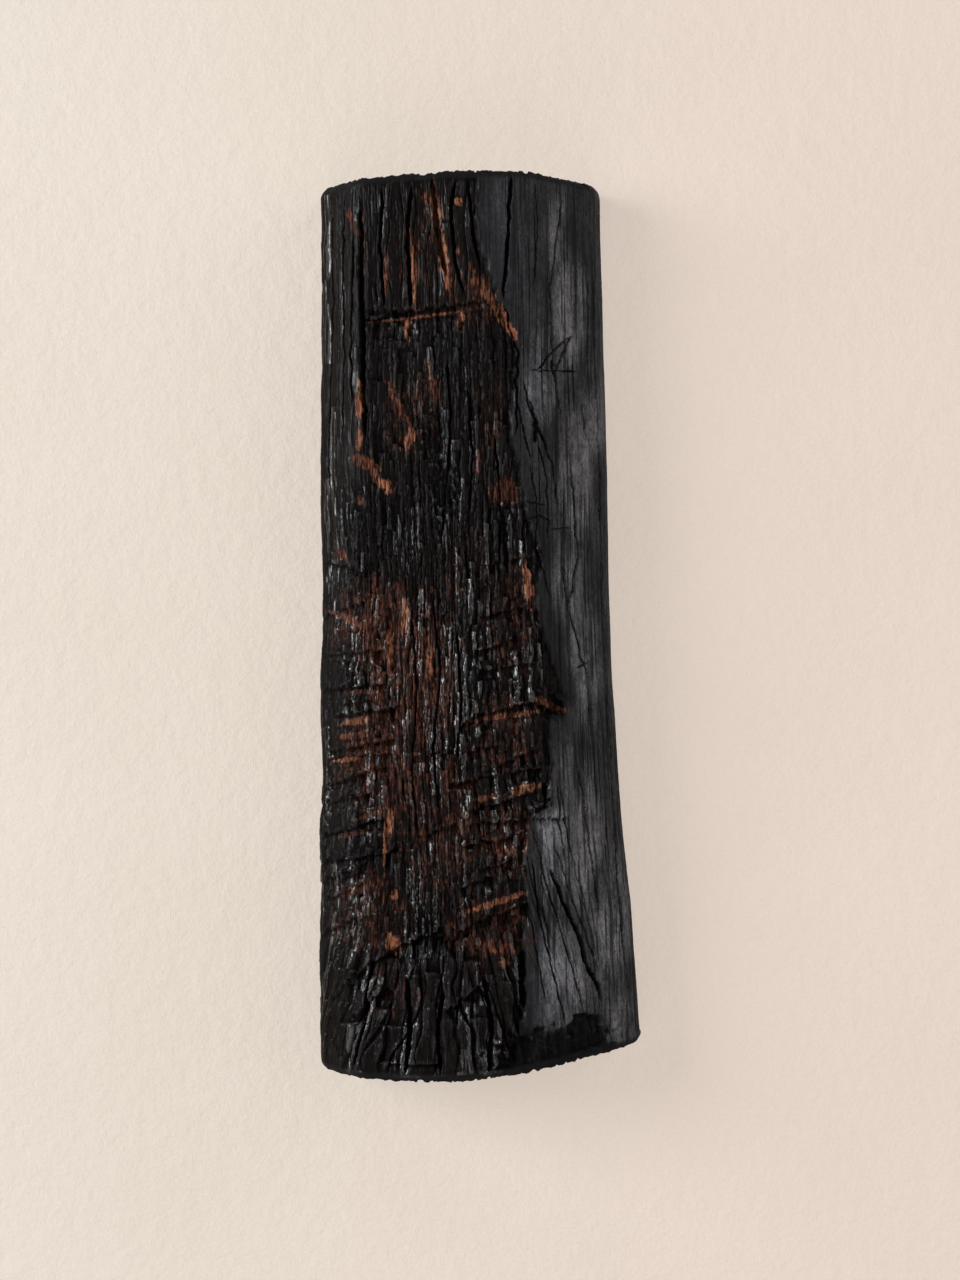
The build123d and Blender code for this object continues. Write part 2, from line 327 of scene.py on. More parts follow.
# Drying checks: (width, depth, points down the plan)
CHECKS = [
    (2.0, 5.0, [(33, 99), (30, 47), (27, 12)]),
    (1.2, 3.5, [(27, 14), (33, -6), (38, -20), (36, -79)]),
    (0.9, 2.5, [(67, 89), (58, 18), (61, -32), (67, -72)]),
    (0.7, 1.8, [(48, 96), (50, 60), (47, 20)]),
    (1.2, 3.5, [(71, -82), (75, -134), (77, -155), (70, -190), (75, -205), (79, -222),
                 (83, -234), (85, -279)]),
    (0.8, 2.5, [(66, -158), (70, -190)]),
    (0.9, 2.5, [(36, -26), (37, -53), (42, -76), (46, -94)]),
    (1.3, 3.0, [(42, -49), (52, -74), (58, -87)]),
    (1.0, 3.0, [(50, -78), (56, -104), (57, -147)]),
    (1.0, 2.5, [(39, -36), (48, -60), (60, -96), (64, -130)]),
    (0.8, 2.2, [(44, -90), (49, -116), (50, -150), (60, -188)]),
    (1.0, 3.0, [(75, -289), (81, -320), (87, -364), (92, -400)]),
    (2.4, 6.0, [(57, -358), (69, -386), (79, -408), (82, -422), (91, -441), (93, -452)]),
    (1.0, 2.5, [(50, -345), (56, -372), (66, -402), (76, -436), (82, -462)]),
    (1.0, 2.5, [(46, -350), (50, -385), (58, -420), (66, -452), (70, -470)]),
    (0.8, 2.0, [(45, -388), (50, -420), (56, -450)]),
    (0.9, 2.2, [(60, -340), (70, -372), (82, -404), (92, -432)]),
    (0.8, 2.0, [(64, -300), (70, -340), (80, -380), (90, -420)]),
    (0.7, 2.0, [(83, 29), (83, -28)]),
    (0.7, 2.0, [(79, -53), (81, -76)]),
    (0.7, 2.0, [(90, -123), (90, -132)]),
    (0.7, 1.8, [(88, 60), (87, 0), (89, -60), (92, -150), (95, -240)]),
    (0.6, 1.6, [(94, -200), (98, -290), (104, -380), (110, -450)]),
    (0.7, 2.0, [(100, -330), (105, -400), (110, -440)]),
    (0.8, 2.5, [(43, -119), (56, -121)]),
    (0.8, 2.0, [(58, -137), (73, -136)]),
    (0.9, 2.2, [(44, -32), (78, -33)]),
    (1.1, 3.0, [(50, -33), (60, -20), (73, -9)]),
    (1.1, 3.0, [(62, -35), (66, -22), (73, -9)]),
    (0.9, 2.5, [(75, -229), (85, -224)]),
    (0.8, 2.0, [(40, -132), (52, -128), (60, -132)]),
    (0.7, 2.0, [(45, -330), (52, -352), (54, -388), (60, -420)]),
    (0.8, 2.2, [(62, -300), (66, -340), (70, -362)]),
    (0.9, 2.0, [(-78, 90), (-79, 40), (-77, -20), (-78, -90)]),
    (0.8, 2.0, [(-86, 84), (-85, 10), (-87, -70), (-86, -130)]),
    (0.9, 2.0, [(-72, 60), (-73, 0), (-72, -60)]),
]

# Long grooves between fibres, wider than checks: (width, depth, points)
GROOVES = [
    (3.0, 4.5, [(-67, 82), (-67, 40), (-66, 0), (-65, -50), (-64, -84)]),
    (1.8, 3.0, [(-52, 90), (-54, 50), (-51, 5)]),
    (2.4, 4.0, [(-33, 92), (-36, 60), (-34, 6)]),
    (3.0, 4.5, [(-20, 97), (-16, 62), (-10, 28)]),
    (2.0, 3.5, [(-4, 97), (-7, 70), (-4, 40), (2, 14)]),
    (1.6, 2.5, [(4, 97), (8, 60), (13, 34)]),
    (3.5, 6.0, [(41, -413), (40, -436), (41, -454)]),
    (1.4, 3.0, [(-10, -20), (-7, -60), (-9, -100), (-14, -150)]),
    (1.2, 2.5, [(4, -40), (8, -90), (5, -130)]),
    (1.4, 3.0, [(-20, -180), (-14, -230), (-19, -280), (-15, -330)]),
    (1.4, 3.0, [(-34, -190), (-30, -240), (-33, -300), (-28, -350)]),
    (1.2, 2.5, [(-3, -200), (0, -250), (-4, -300)]),
    (1.2, 2.5, [(22, -70), (27, -130), (24, -180)]),
    (2.2, 4.5, [(-60, -420), (-66, -460), (-74, -496)]),
    (2.6, 5.0, [(-36, -430), (-34, -470), (-38, -498)]),
    (2.4, 5.0, [(-12, -440), (-16, -470), (-14, -499)]),
    (2.6, 5.0, [(14, -430), (20, -462), (18, -498)]),
]

# Hewn cuts across the grain: (start, end, depth, ramp). Each bites square into its upper side and
# rises back to the surface over its ramp, below
CUTS = [
    ((-64, 0), (-47, 6), 4.0, 9), ((-47, 6), (-19, 9), 4.5, 9), ((-19, 9), (13, 13), 3.5, 9),
    ((-84, -260), (-41, -254), 5.5, 13), ((-86, -283), (-45, -275), 4.0, 8),
    ((-85, -287), (-46, -284), 4.0, 12), ((-91, -339), (-51, -327), 4.5, 13),
    ((-93, -356), (-42, -350), 4.0, 10), ((-95, -370), (-41, -346), 4.5, 14),
    ((-89, -381), (-63, -367), 4.0, 12), ((-76, -433), (-46, -414), 5.5, 14),
    ((-46, -414), (-12, -400), 6.5, 18), ((-85, -446), (-64, -424), 4.5, 12),
    ((-75, -460), (-50, -439), 4.5, 14), ((14, -194), (44, -189), 3.0, 9),
    ((7, -219), (39, -208), 3.5, 10), ((-2, -268), (9, -260), 4.0, 10),
    ((9, -260), (46, -252), 5.0, 12), ((46, -252), (70, -258), 4.5, 8),
    ((24, -293), (50, -283), 4.0, 12), ((-8, -306), (26, -298), 4.5, 12),
    ((26, -298), (52, -296), 6.0, 9), ((6, -322), (46, -312), 4.0, 10), ((6, -331), (69, -327), 3.5, 9),
    ((1, -346), (34, -340), 4.0, 11), ((-1, -373), (21, -366), 4.0, 10),
    ((-12, -411), (9, -396), 5.5, 16), ((9, -396), (44, -384), 6.0, 16),
    ((-10, -456), (11, -438), 4.5, 13), ((-90, -158), (-64, -166), 2.5, 8),
    ((-93, -196), (-62, -182), 3.0, 9), ((-88, -220), (-52, -216), 3.0, 9),
    ((-92, -243), (-50, -238), 3.5, 9), ((-90, -306), (-48, -292), 3.5, 9),
    ((-94, -318), (-60, -311), 3.0, 8), ((-94, -404), (-70, -392), 3.0, 10),
    ((-30, -196), (-8, -192), 2.0, 8), ((-34, -288), (-6, -284), 2.0, 8),
    ((-30, -340), (-2, -332), 2.5, 9), ((12, -230), (48, -226), 2.5, 8),
    ((4, -284), (24, -279), 3.0, 8), ((18, -160), (46, -156), 2.5, 8), ((14, -362), (40, -352), 3.0, 9),
]

# Where the soot on the smooth side is paler: (X, height, half width, half height, share)
PALE_SOOT = [
    (71, 5, 13, 46, 1.0), (62, 60, 10, 30, 0.5), (50, -40, 16, 40, 0.5), (75, -105, 13, 52, 1.0),
    (86, -60, 10, 40, 0.4), (70, -170, 14, 40, 0.6), (80, -230, 14, 50, 0.6), (62, -300, 14, 40, 0.7),
    (60, -345, 18, 50, 0.9), (80, -340, 18, 60, 0.6), (98, -400, 16, 60, 0.7), (66, -430, 22, 44, 0.7),
    (105, -460, 14, 24, 0.5),
]

# Small deep pits: (X, height, half width, half height, depth)
PITS = [
    (-35, -4, 1.6, 5, 3), (0, -2, 2.5, 4.5, 3), (55, -312, 2.0, 10, 5), (49, -72, 2.4, 9, 4),
    (60, -30, 2.0, 6, 3), (62, -252, 6.0, 8.0, 3.5), (-20, -80, 9, 16, 1.6), (-12, -110, 12, 22, 1.8),
]

# Bare wood: (X, height, half width, half height, lean in degrees, brightness). A lean turns its top
# to the left
BARE = [
    (-19, 78, 4.5, 12, 12, 0.8), (-12, 45, 2.6, 22, 8, 1.0), (-32, 31, 2.0, 21, 3, 0.85),
    (-50, 33, 1.8, 13, 0, 0.8), (-2, 79, 3.5, 2.6, 0, 0.9), (-2, 47, 1.8, 2.4, 0, 0.8),
    (-72, 65, 2.4, 8, 20, 0.6), (-66, 45, 1.5, 22, 0, 0.5), (21, 12, 3.4, 27, 33, 0.8),
    (12, 24, 6, 8, 20, 0.5), (33, -6, 2.2, 9, 25, 0.9), (-36, -3, 2.6, 8, 0, 0.9),
    (0, 2, 2.4, 7, 0, 0.9), (-27, 4, 36, 1.1, 7, 0.8), (-20, -39, 3.5, 15, 15, 0.4),
    (-68, -53, 2.4, 11, 0, 0.9), (-68, -77, 2.0, 7, 0, 0.8), (-42, -55, 2.2, 16, 28, 0.7),
    (-35, -77, 3.2, 8, -30, 0.9), (-64, -93, 9, 4, -20, 0.6), (-50, -108, 6, 4.2, -28, 1.0),
    (-58, -100, 2.4, 10, 25, 0.8), (-68, -118, 2.4, 3, 0, 0.7), (-80, -154, 4, 4, 0, 0.6),
    (11, -93, 2.4, 8, 0, 0.6), (44, -174, 2.8, 16, 8, 0.95), (29, -111, 9, 8, 0, 0.35),
    (-76, -196, 13, 2.6, -25, 0.7), (-59, -198, 5, 5, 0, 0.6), (-38, -196, 3.0, 12, 4, 1.0),
    (-47, -221, 2.4, 15, 6, 0.85), (-22, -219, 3.0, 17, 3, 0.8), (-56, -235, 4, 22, 0, 0.5),
    (-64, -244, 15, 1.6, 3, 0.6), (58, -252, 14, 2.6, -22, 0.75), (30, -260, 26, 2.0, 8, 0.8),
    (-71, -264, 10, 2.8, 5, 0.8), (-71, -273, 11, 2.4, 5, 0.7), (-67, -279, 8, 2, 5, 0.6),
    (-77, -289, 9, 1.6, 6, 0.95), (41, -308, 11, 3.0, 14, 1.0), (16, -314, 10, 2.2, 12, 0.7),
    (-49, -337, 2.8, 14, -8, 1.0), (1, -331, 2.6, 8, 8, 0.6), (29, -349, 7, 3.2, 10, 0.7),
    (-66, -373, 12, 3.2, 20, 0.6), (22, -383, 23, 2.2, 17, 0.9), (-44, -377, 2.4, 4, 0, 0.8),
    (-45, -410, 4.2, 7, 15, 0.9), (23, -412, 12, 4.5, -10, 0.7), (27, -423, 4.2, 3, 0, 0.8),
    (-8, -300, 2, 12, 0, 0.4), (-12, -258, 2.2, 14, 0, 0.6), (-30, -262, 2, 12, 0, 0.5),
    (-60, -325, 12, 1.6, 18, 0.6), (-74, -338, 9, 1.6, 12, 0.5),
]

# Where fibres show brown here and there: (X, height, half width, half height, share)
BROWN_FIELDS = [
    (-55, -200, 40, 45, 0.62), (-50, -290, 42, 60, 0.55), (-30, -240, 35, 80, 0.62),
    (-14, -330, 40, 70, 0.42), (-22, 45, 34, 55, 0.20), (10, 10, 30, 25, 0.24),
    (-35, -60, 25, 40, 0.26), (0, -180, 40, 60, 0.18), (35, -200, 22, 60, 0.30),
    (30, -270, 34, 40, 0.40), (30, -340, 26, 40, 0.42), (20, -400, 40, 36, 0.35),
    (-60, -390, 38, 40, 0.34), (-50, -440, 40, 30, 0.15), (20, -60, 16, 40, 0.2),
]


# ---------------------------------------------------------------- how the carving is laid out

# Kinds of torn fibre: (pitch across the grain, length along it, seed)
PLANK = (9.0, 130, 41)
SHARD = (3.4, 24, 51)
THREAD = (2.1, 34, 61)
BLOCK = (3.6, 12, 71)
SPLINTER = (7.5, 60, 81)
WEDGE = (12.0, 44, 86)
NAP = (1.3, 12, 91)

# Where parts of the timber lie on the plan. Each pair is where a part begins and where it is full
ROUGH_BLEND = (2.5, -2.5)  # across the rough edge
FLANK = (-72, -86)  # X of the left flank
FLANK_STRIP_X = (-62, -66)  # the plain strip beside it
FLANK_STRIP_Z = (-120, -95)
UPPER_PART = (2, 14)  # height of the long planks at the top
MIDDLE_LEFT = (-46, -36)  # X of the middle band's two sides
MIDDLE_RIGHT = (6, -4)
THREADED_PART = (-95, -125)  # height below which the middle band is stringy
HACKED_PART = (-150, -185)  # height below which both sides are hacked into blocks
CALM_PART = (-150, -90)  # height above which the tearing is shallower
CALMED = 0.25  # by this share
FOOT = (-405, -430)  # height below which the fibres are coarse splinters

# The fibres fan out towards the foot from a line up the timber
FAN_X, FAN_PART, FAN = 6, (-385, -500), 0.30
WEDGE_LEAN, WEDGE_Z, WEDGE_REACH = 0.22, 440, 60
# and the grain of the smooth side sweeps out there
SWEEP, SWEEP_PART, SWEEP_START, SWEEP_STOP = 26, (-330, -470), (15, 65), (118, 65)

# Broad hollows: (X, height, half width, half height), then their depths
HOLLOW = (-18, -150, 62, 170)
UPPER_HOLLOW = (-15, 45, 55, 60)
HOLLOW_DEPTH, UPPER_HOLLOW_DEPTH = 8.0, 3.0
STEP_DEPTH = 3.0  # the drop just below the long planks, which runs out downwards
BRINK_DEPTH, BRINK_WIDTH = 2.4, 16  # the drop in the hewn front beside the smooth side
# The burnt scoop at the right foot: two ovals that run together
SCOOP = (62, -486, 50, 26, 8)
SCOOP_CORNER = (84, -470, 16, 16)
SCOOP_DEPTH = 5.0

ARRIS_FADE = (6, 26)  # how far round from the back's arrises the carving fades in
LEAST_CARVING = 0.08  # the share of it that is left at an arris
END_FADE = (1, 15)  # how far from an end the fibres fade in

# The heart of the tree on the end grain, and the pitch of the rings round it
HEART_X, HEART_Y = 8, 22
RING_PITCH = 3.6

AROUND = (4, 7)  # rows and columns that hollows and ridges are judged against
CAVITY_DEPTH, RIDGE_HEIGHT = 1.3, 0.9


def wander(x, z, seed):
    """Sideways wander of the grain: what runs up the timber is never quite straight."""
    return 2.2 * noise(x / 60, z / 110, seed) + 0.7 * noise(x / 20, z / 24, seed + 1)


def fibres(grain, z, kind):
    """Bundles of torn fibre that break off at random heights. Returns a relief from about -1 to 1, each
    bundle's random tint from 0 to 1, and how near each place is to its bundle's edge."""
    pitch, length, seed = kind
    bent = 0.35 * pitch * noise(grain / pitch, z / (3 * pitch), seed + 2)
    g = (grain + wander(grain, z, seed) + bent) / pitch
    i = np.floor(g)
    own_length = length * (0.5 + lattice(i, 0 * i, seed + 3))
    v = z / own_length + lattice(i, 0 * i + 1, seed + 4) * 50
    j = np.floor(v)
    height = lattice(i, j, seed + 5) - 0.5
    tint = lattice(i, j, seed + 6)
    across, down = g - i - 0.5, v - j - 0.5
    lean = (lattice(i, j, seed + 7) - 0.5) * across * 1.6 + (lattice(i, j, seed + 8) - 0.25) * down
    edge = np.abs(across) * 2
    return height + lean, tint, edge


def to_line(x, z, points):
    """Distance of each place from a line of points, and how far along it the nearest point is, 0 to 1."""
    points = np.array(points, float)
    lengths = np.linalg.norm(np.diff(points, axis=0), axis=1)
    starts = np.r_[0, np.cumsum(lengths)]
    best, where = np.full(x.shape, 1e9), np.zeros(x.shape)
    for (ax, az), (bx, bz), length, start in zip(points, points[1:], lengths, starts):
        t = np.clip(((x - ax) * (bx - ax) + (z - az) * (bz - az)) / length**2, 0, 1)
        distance = np.hypot(x - ax - t * (bx - ax), z - az - t * (bz - az))
        nearer = distance < best
        best = np.where(nearer, distance, best)
        where = np.where(nearer, (start + t * length) / starts[-1], where)
    return best, where


def near(x, z, points, reach):
    """Which places lie in the box round a line of points."""
    points = np.array(points, float)
    low, high = points.min(0) - reach, points.max(0) + reach
    return (x > low[0]) & (x < high[0]) & (z > low[1]) & (z < high[1])


def split(depth, x, z, width, deep, points, seed):
    """Opens a crack or groove along a line of points, tapering out at both its ends."""
    at = near(x, z, points, 3 * width + 3)
    px, pz = x[at], z[at]
    stray_x = px + 0.9 * noise(pz / 9, 0 * pz + seed, seed) + 0.35 * noise(pz / 2.5, 0 * pz + seed, seed + 1)
    stray_z = pz + 0.6 * noise(px / 5, 0 * px + seed, seed + 2)
    distance, where = to_line(stray_x, stray_z, points)
    taper = ramp(0, 0.12, where) * ramp(1, 0.85, where)
    half = width / 2 * (0.35 + 0.65 * taper) * (1 + 0.35 * noise(pz / 7, px / 7, seed + 3))
    cut = deep * taper * ramp(half * 1.5, half * 0.45, distance)
    depth[at] = np.maximum(depth[at], cut)


def blob(x, z, cx, cz, half_x, half_z, lean=0.0):
    """1 in the middle of a leaning oval, 0 on its edge and below 0 outside."""
    a = math.radians(lean)
    dx, dz = x - cx, z - cz
    along_x = dx * math.cos(a) + dz * math.sin(a)
    along_z = -dx * math.sin(a) + dz * math.cos(a)
    return 1 - np.hypot(along_x / half_x, along_z / half_z)


class Carving:
    """Everything done to the skin: how far each place moves along its normal, and its finish. Depths and
    heights are millimetres, and each mask runs from 0 to 1."""

    def __init__(self, skin):
        x, z, grain = skin.plan_x, skin.plan_z, skin.grain
        self.on_side = 1 - skin.end
        ragged = 1.6 * noise(x / 5, z / 9, 21)
        self.rough = ramp(*ROUGH_BLEND, x - rough_edge(z) + ragged) * self.on_side
        self.left = ramp(*FLANK, x) * self.on_side
        self.carve_form(x, z)
        self.carve_fibres(skin, x, z, grain)
        self.carve_cuts(x, z, grain)
        self.carve_splits(x, z)
        self.carve_ends(skin)
        self.add_up(skin)
        self.finish_wood(x, z, grain)
        self.finish_char(x, z, grain)

    def carve_form(self, x, z):
        """The broad hollows and swells."""
        rough = self.rough
        hollow = np.clip(blob(x, z, *HOLLOW), 0, 1) ** 0.8 * HOLLOW_DEPTH
        upper = np.clip(blob(x, z, *UPPER_HOLLOW), 0, 1) * UPPER_HOLLOW_DEPTH
        step = STEP_DEPTH * ramp(10, 4, z) * ramp(-70, -60, x) * rough * ramp(-60, 0, z)
        torn_edge = 0.5 * noise(x / 9, z / 7, 33) + 0.2 * noise(x / 3, z / 3, 34)
        scoop = ramp(0, 0.5, blob(x, z, *SCOOP) + 0.45 * torn_edge)
        self.scoop = np.maximum(scoop, ramp(0, 0.4, blob(x, z, *SCOOP_CORNER) + 0.5 * torn_edge))
        scooped = self.scoop * (SCOOP_DEPTH + 2.0 * layered(x / 8, z / 11, 35, 4))
        swell = 1.6 * noise(x / 55, z / 90, 31) + 0.8 * noise(x / 22, z / 40, 32)
        brink = BRINK_DEPTH * rough * ramp(-BRINK_WIDTH, -1, x - rough_edge(z))
        self.form = swell * (0.5 + 0.5 * rough) - (hollow + upper + step + brink) * rough
        self.form = self.form - scooped * self.on_side

    def carve_fibres(self, skin, x, z, grain):
        """Torn fibres on the hewn front, each part in its own way, and fine grain on the smooth side."""
        fan = grain - FAN * (x + FAN_X) * ramp(*FAN_PART, z)
        plank, self.plank_tint, plank_edge = fibres(fan, z, PLANK)
        shard, self.shard_tint, shard_edge = fibres(fan, z, SHARD)
        thread, self.thread_tint, thread_edge = fibres(fan, z, THREAD)
        shaken = z - 0.25 * x + 4 * noise(grain / 7, z / 9, 113)
        crowded = fan + 1.6 * noise(grain / 9, z / 14, 114)
        block, self.block_tint, block_edge = fibres(crowded, shaken, BLOCK)
        splinter, self.splinter_tint, splinter_edge = fibres(fan, z, SPLINTER)
        slanted = fan + WEDGE_LEAN * (z + WEDGE_Z) * np.clip((x + FAN_X) / WEDGE_REACH, -1, 1)
        wedge, _, wedge_edge = fibres(slanted, z, WEDGE)
        nap, self.nap_tint, nap_edge = fibres(fan, z, NAP)

        fine = 0.5 * nap - 0.35 * ramp(0.5, 1, nap_edge) + 0.35 * layered(grain / 1.8, z / 10, 101, 3)
        planks = 1.6 * plank - 1.6 * ramp(0.82, 1, plank_edge)
        planks = planks + 0.7 * thread - 0.4 * ramp(0.6, 1, thread_edge)
        shards = 2.4 * shard - 0.9 * ramp(0.7, 1, shard_edge) + 1.2 * splinter + 0.6 * thread
        threads = 1.6 * thread - 1.1 * ramp(0.6, 1, thread_edge) + 1.1 * splinter + 0.8 * shard
        blocks = 2.6 * block - 0.8 * ramp(0.75, 1, block_edge) + 0.9 * splinter + 0.9 * shard
        splinters = 3.4 * splinter - 1.8 * ramp(0.8, 1, splinter_edge) + 0.6 * thread + 0.5 * shard
        splinters = splinters + 3.6 * wedge - 2.2 * ramp(0.88, 1, wedge_edge)

        blur = 9 * noise(x / 16, z / 22, 111)
        upper = ramp(*UPPER_PART, z + 0.5 * blur)
        middle = ramp(*MIDDLE_LEFT, x + 0.5 * blur) * ramp(*MIDDLE_RIGHT, x + 0.5 * blur)
        self.hacked = ramp(*HACKED_PART, z + blur) * (1 - middle)
        self.foot = ramp(*FOOT, z + blur)
        strip = ramp(*FLANK_STRIP_X, x) * ramp(*FLANK_STRIP_Z, z + blur)
        blocky = 0.35 + 0.65 * ramp(-0.25, 0.3, noise(x / 16, z / 20, 117))
        torn = shards + (threads - shards) * middle * ramp(*THREADED_PART, z + blur)
        torn = torn + (blocks - torn) * self.hacked * blocky
        torn = torn + (splinters - torn) * self.foot
        torn = torn + (planks - torn) * upper
        torn = torn + (0.45 * planks - torn) * strip * (1 - 0.3 * upper)
        torn = torn + fine * (1 - 0.6 * np.maximum(upper, strip))
        torn = torn * (1 - CALMED * ramp(*CALM_PART, z + blur))

        swept = grain - SWEEP * ramp(*SWEEP_PART, z) * ramp(*SWEEP_START, x) * ramp(*SWEEP_STOP, x)
        lines = ramp(0.30, 0.75, noise(swept / 1.6, z / 85, 121))
        lines = lines + 0.6 * ramp(0.35, 0.8, noise(swept / 0.8, z / 50, 122))
        smooth = 0.35 * layered(swept / 4.0, z / 70, 123, 4) + 0.12 * noise(swept / 0.9, z / 12, 124)
        smooth = smooth - 0.40 * lines + 0.10 * layered(grain / 1.5, z / 1.9, 125, 2)
        self.lines = np.clip(lines, 0, 1) * (1 - self.rough)

        flank = 0.45 * thread - 0.5 * ramp(0.75, 1, plank_edge)
        flank = flank + 0.3 * noise(grain / 6, z / 14, 126) + 0.25 * nap
        flank = flank + 0.9 * block * ramp(-150, -190, z) * ramp(-99, -84, x)

        relief = torn * self.rough + smooth * (1 - self.rough)
        relief = relief + (flank - relief) * self.left
        from_end = np.minimum(TOP - skin.z, skin.z - bottom_end(skin.x))
        fade = LEAST_CARVING + (1 - LEAST_CARVING) * ramp(*END_FADE, from_end)
        self.relief = relief * self.on_side * fade

    def carve_cuts(self, x, z, grain):
        """Hewn cuts: a square wall with a jagged upper edge, and a ramp that runs out below it."""
        strand = np.floor((grain + wander(grain, z, 71)) / 3.8)
        jag = 2.4 * (lattice(strand, 0 * grain, 131) - 0.5) + 0.9 * noise(grain / 2.2, z / 5, 132)
        self.cut = np.zeros(x.shape)
        for n, ((ax, az), (bx, bz), deep, run) in enumerate(CUTS):
            at = near(x, z, [(ax, az), (bx, bz)], run + 6)
            length = math.hypot(bx - ax, bz - az)
            ux, uz = (bx - ax) / length, (bz - az) / length
            dx, dz = x[at] - ax, z[at] - az
            t = (dx * ux + dz * uz) / length
            below = dx * uz - dz * ux + jag[at]
            start = ramp(-0.06, 0.08, t + 0.05 * noise(z[at] / 4, x[at] / 4, 140 + n))
            bite = ramp(-0.7, 0.5, below) * (1 - ramp(0, 1, below / run)) ** 0.8
            self.cut[at] = np.maximum(self.cut[at], deep * start * ramp(1.06, 0.92, t) * bite)
        uneven = 0.35 + 0.95 * lattice(strand, np.floor(z / 14), 133)
        self.cut = self.cut * uneven * self.on_side * (1 - 0.55 * self.left)

    def carve_splits(self, x, z):
        """Checks, grooves and pits."""
        self.open = np.zeros(x.shape)
        for n, (width, deep, points) in enumerate(CHECKS + GROOVES):
            split(self.open, x, z, width, deep, points, 200 + 7 * n)
        for cx, cz, half_x, half_z, deep in PITS:
            inside = blob(x + 1.2 * noise(z / 4, x / 4, 151), z, cx, cz, half_x, half_z)
            inside = inside + 0.4 * noise(x / 3, z / 5, 152)
            self.open = np.maximum(self.open, deep * ramp(0, 0.5, inside))
        self.open = self.open * self.on_side

    def carve_ends(self, skin):
        """Charred end grain: growth rings, checks that run out from the heart, pits and worn arrises."""
        x, y = skin.x, skin.y
        radius = np.hypot(x - HEART_X, y - HEART_Y) + 3 * noise(x / 40, y / 40, 101)
        bearing = np.arctan2(y - HEART_Y, x - HEART_X)
        rings = 0.35 * np.sin(radius * 2 * np.pi / RING_PITCH + 0.8 * noise(x / 9, y / 9, 102))
        wide = ramp(0.42, 0.62, noise(bearing * 14, radius / 60, 103)) * ramp(0, 25, radius - 20)
        narrow = ramp(0.35, 0.5, noise(bearing * 40, radius / 30, 104))
        pits = 0.8 * layered(x / 4, y / 4, 105, 3)
        worn = 0.7 * ramp(0.1, 0.9, noise(x / 14, skin.z / 9 + y / 12, 106)) * 4 * skin.end * (1 - skin.end)
        self.end_relief = (rings - 3.2 * wide - 1.2 * narrow + pits) * ramp(0.75, 1, skin.end) - worn

    def add_up(self, skin):
        """The whole move, and what lies below or stands proud of the places around it, which set the painted
        shade in recesses and the painted highlights on ridges.
        """
        move = self.form + self.relief - self.cut - self.open + self.end_relief
        from_back = np.minimum(skin.girth, skin.girth[-1] - skin.girth)
        self.move = move * (LEAST_CARVING + (1 - LEAST_CARVING) * ramp(*ARRIS_FADE, from_back))
        around = blurred(self.move, *AROUND)
        # cavity, what lies below the places around it, is where shade is painted; ridge, what stands proud,
        # carries painted highlights
        self.cavity = np.clip((around - self.move + 0.1) / CAVITY_DEPTH, 0, 1)
        self.ridge = np.clip((self.move - around) / RIDGE_HEIGHT, 0, 1)

    def finish_wood(self, x, z, grain):
        """Where bare wood shows: brown specks in fields, bright patches, and the faces of cuts."""
        field = np.zeros(x.shape)
        for cx, cz, half_x, half_z, share in BROWN_FIELDS:
            field = np.maximum(field, share * ramp(0, 0.7, blob(x, z, cx, cz, half_x, half_z)))
        tilted = z - 0.25 * x
        streaks = 0.7 * noise(grain / 1.3, z / 9, 161) + 0.5 * noise(grain / 3.2, tilted / 7, 162)
        streaks = streaks + 0.35 * noise(grain / 0.8, z / 4, 163) + 0.4 * noise(x / 13, z / 19, 164)
        picked = np.where(self.hacked > 0.5, self.block_tint, self.thread_tint)
        speck = ramp(0.05, 0.38, streaks + 1.45 * field - 0.42 - 0.5 * (picked - 0.4))
        speck = speck * ramp(0, 0.15, field)
        patches = np.zeros(x.shape)
        bright = np.zeros(x.shape)
        ragged = 0.45 * noise(grain / 1.1, z / 11, 165) + 0.3 * noise(grain / 2.8, z / 6, 166)
        ragged = ragged + 0.3 * (self.thread_tint - 0.5) + 0.25 * (self.nap_tint - 0.5)
        for cx, cz, half_x, half_z, lean, brightness in BARE:
            torn_edge = ragged * min(1, 0.35 + half_z / 8)
            oval = blob(x, z, cx, cz, 1.15 * half_x, 1.15 * half_z, lean)
            inside = ramp(0.02, 0.16, oval + torn_edge)
            patches = np.maximum(patches, inside)
            bright = np.maximum(bright, inside * brightness)
        cut_face = ramp(0.8, 3.0, self.cut) * ramp(0.5, 0.2, self.shard_tint) * ramp(0, 0.3, field)
        bare = np.maximum(np.maximum(0.8 * speck, patches), 0.8 * cut_face)
        self.bare = np.clip(bare, 0, 1) * self.on_side
        self.bright = bright * self.on_side
        self.warm = np.clip(field * 1.6, 0, 1) * self.rough

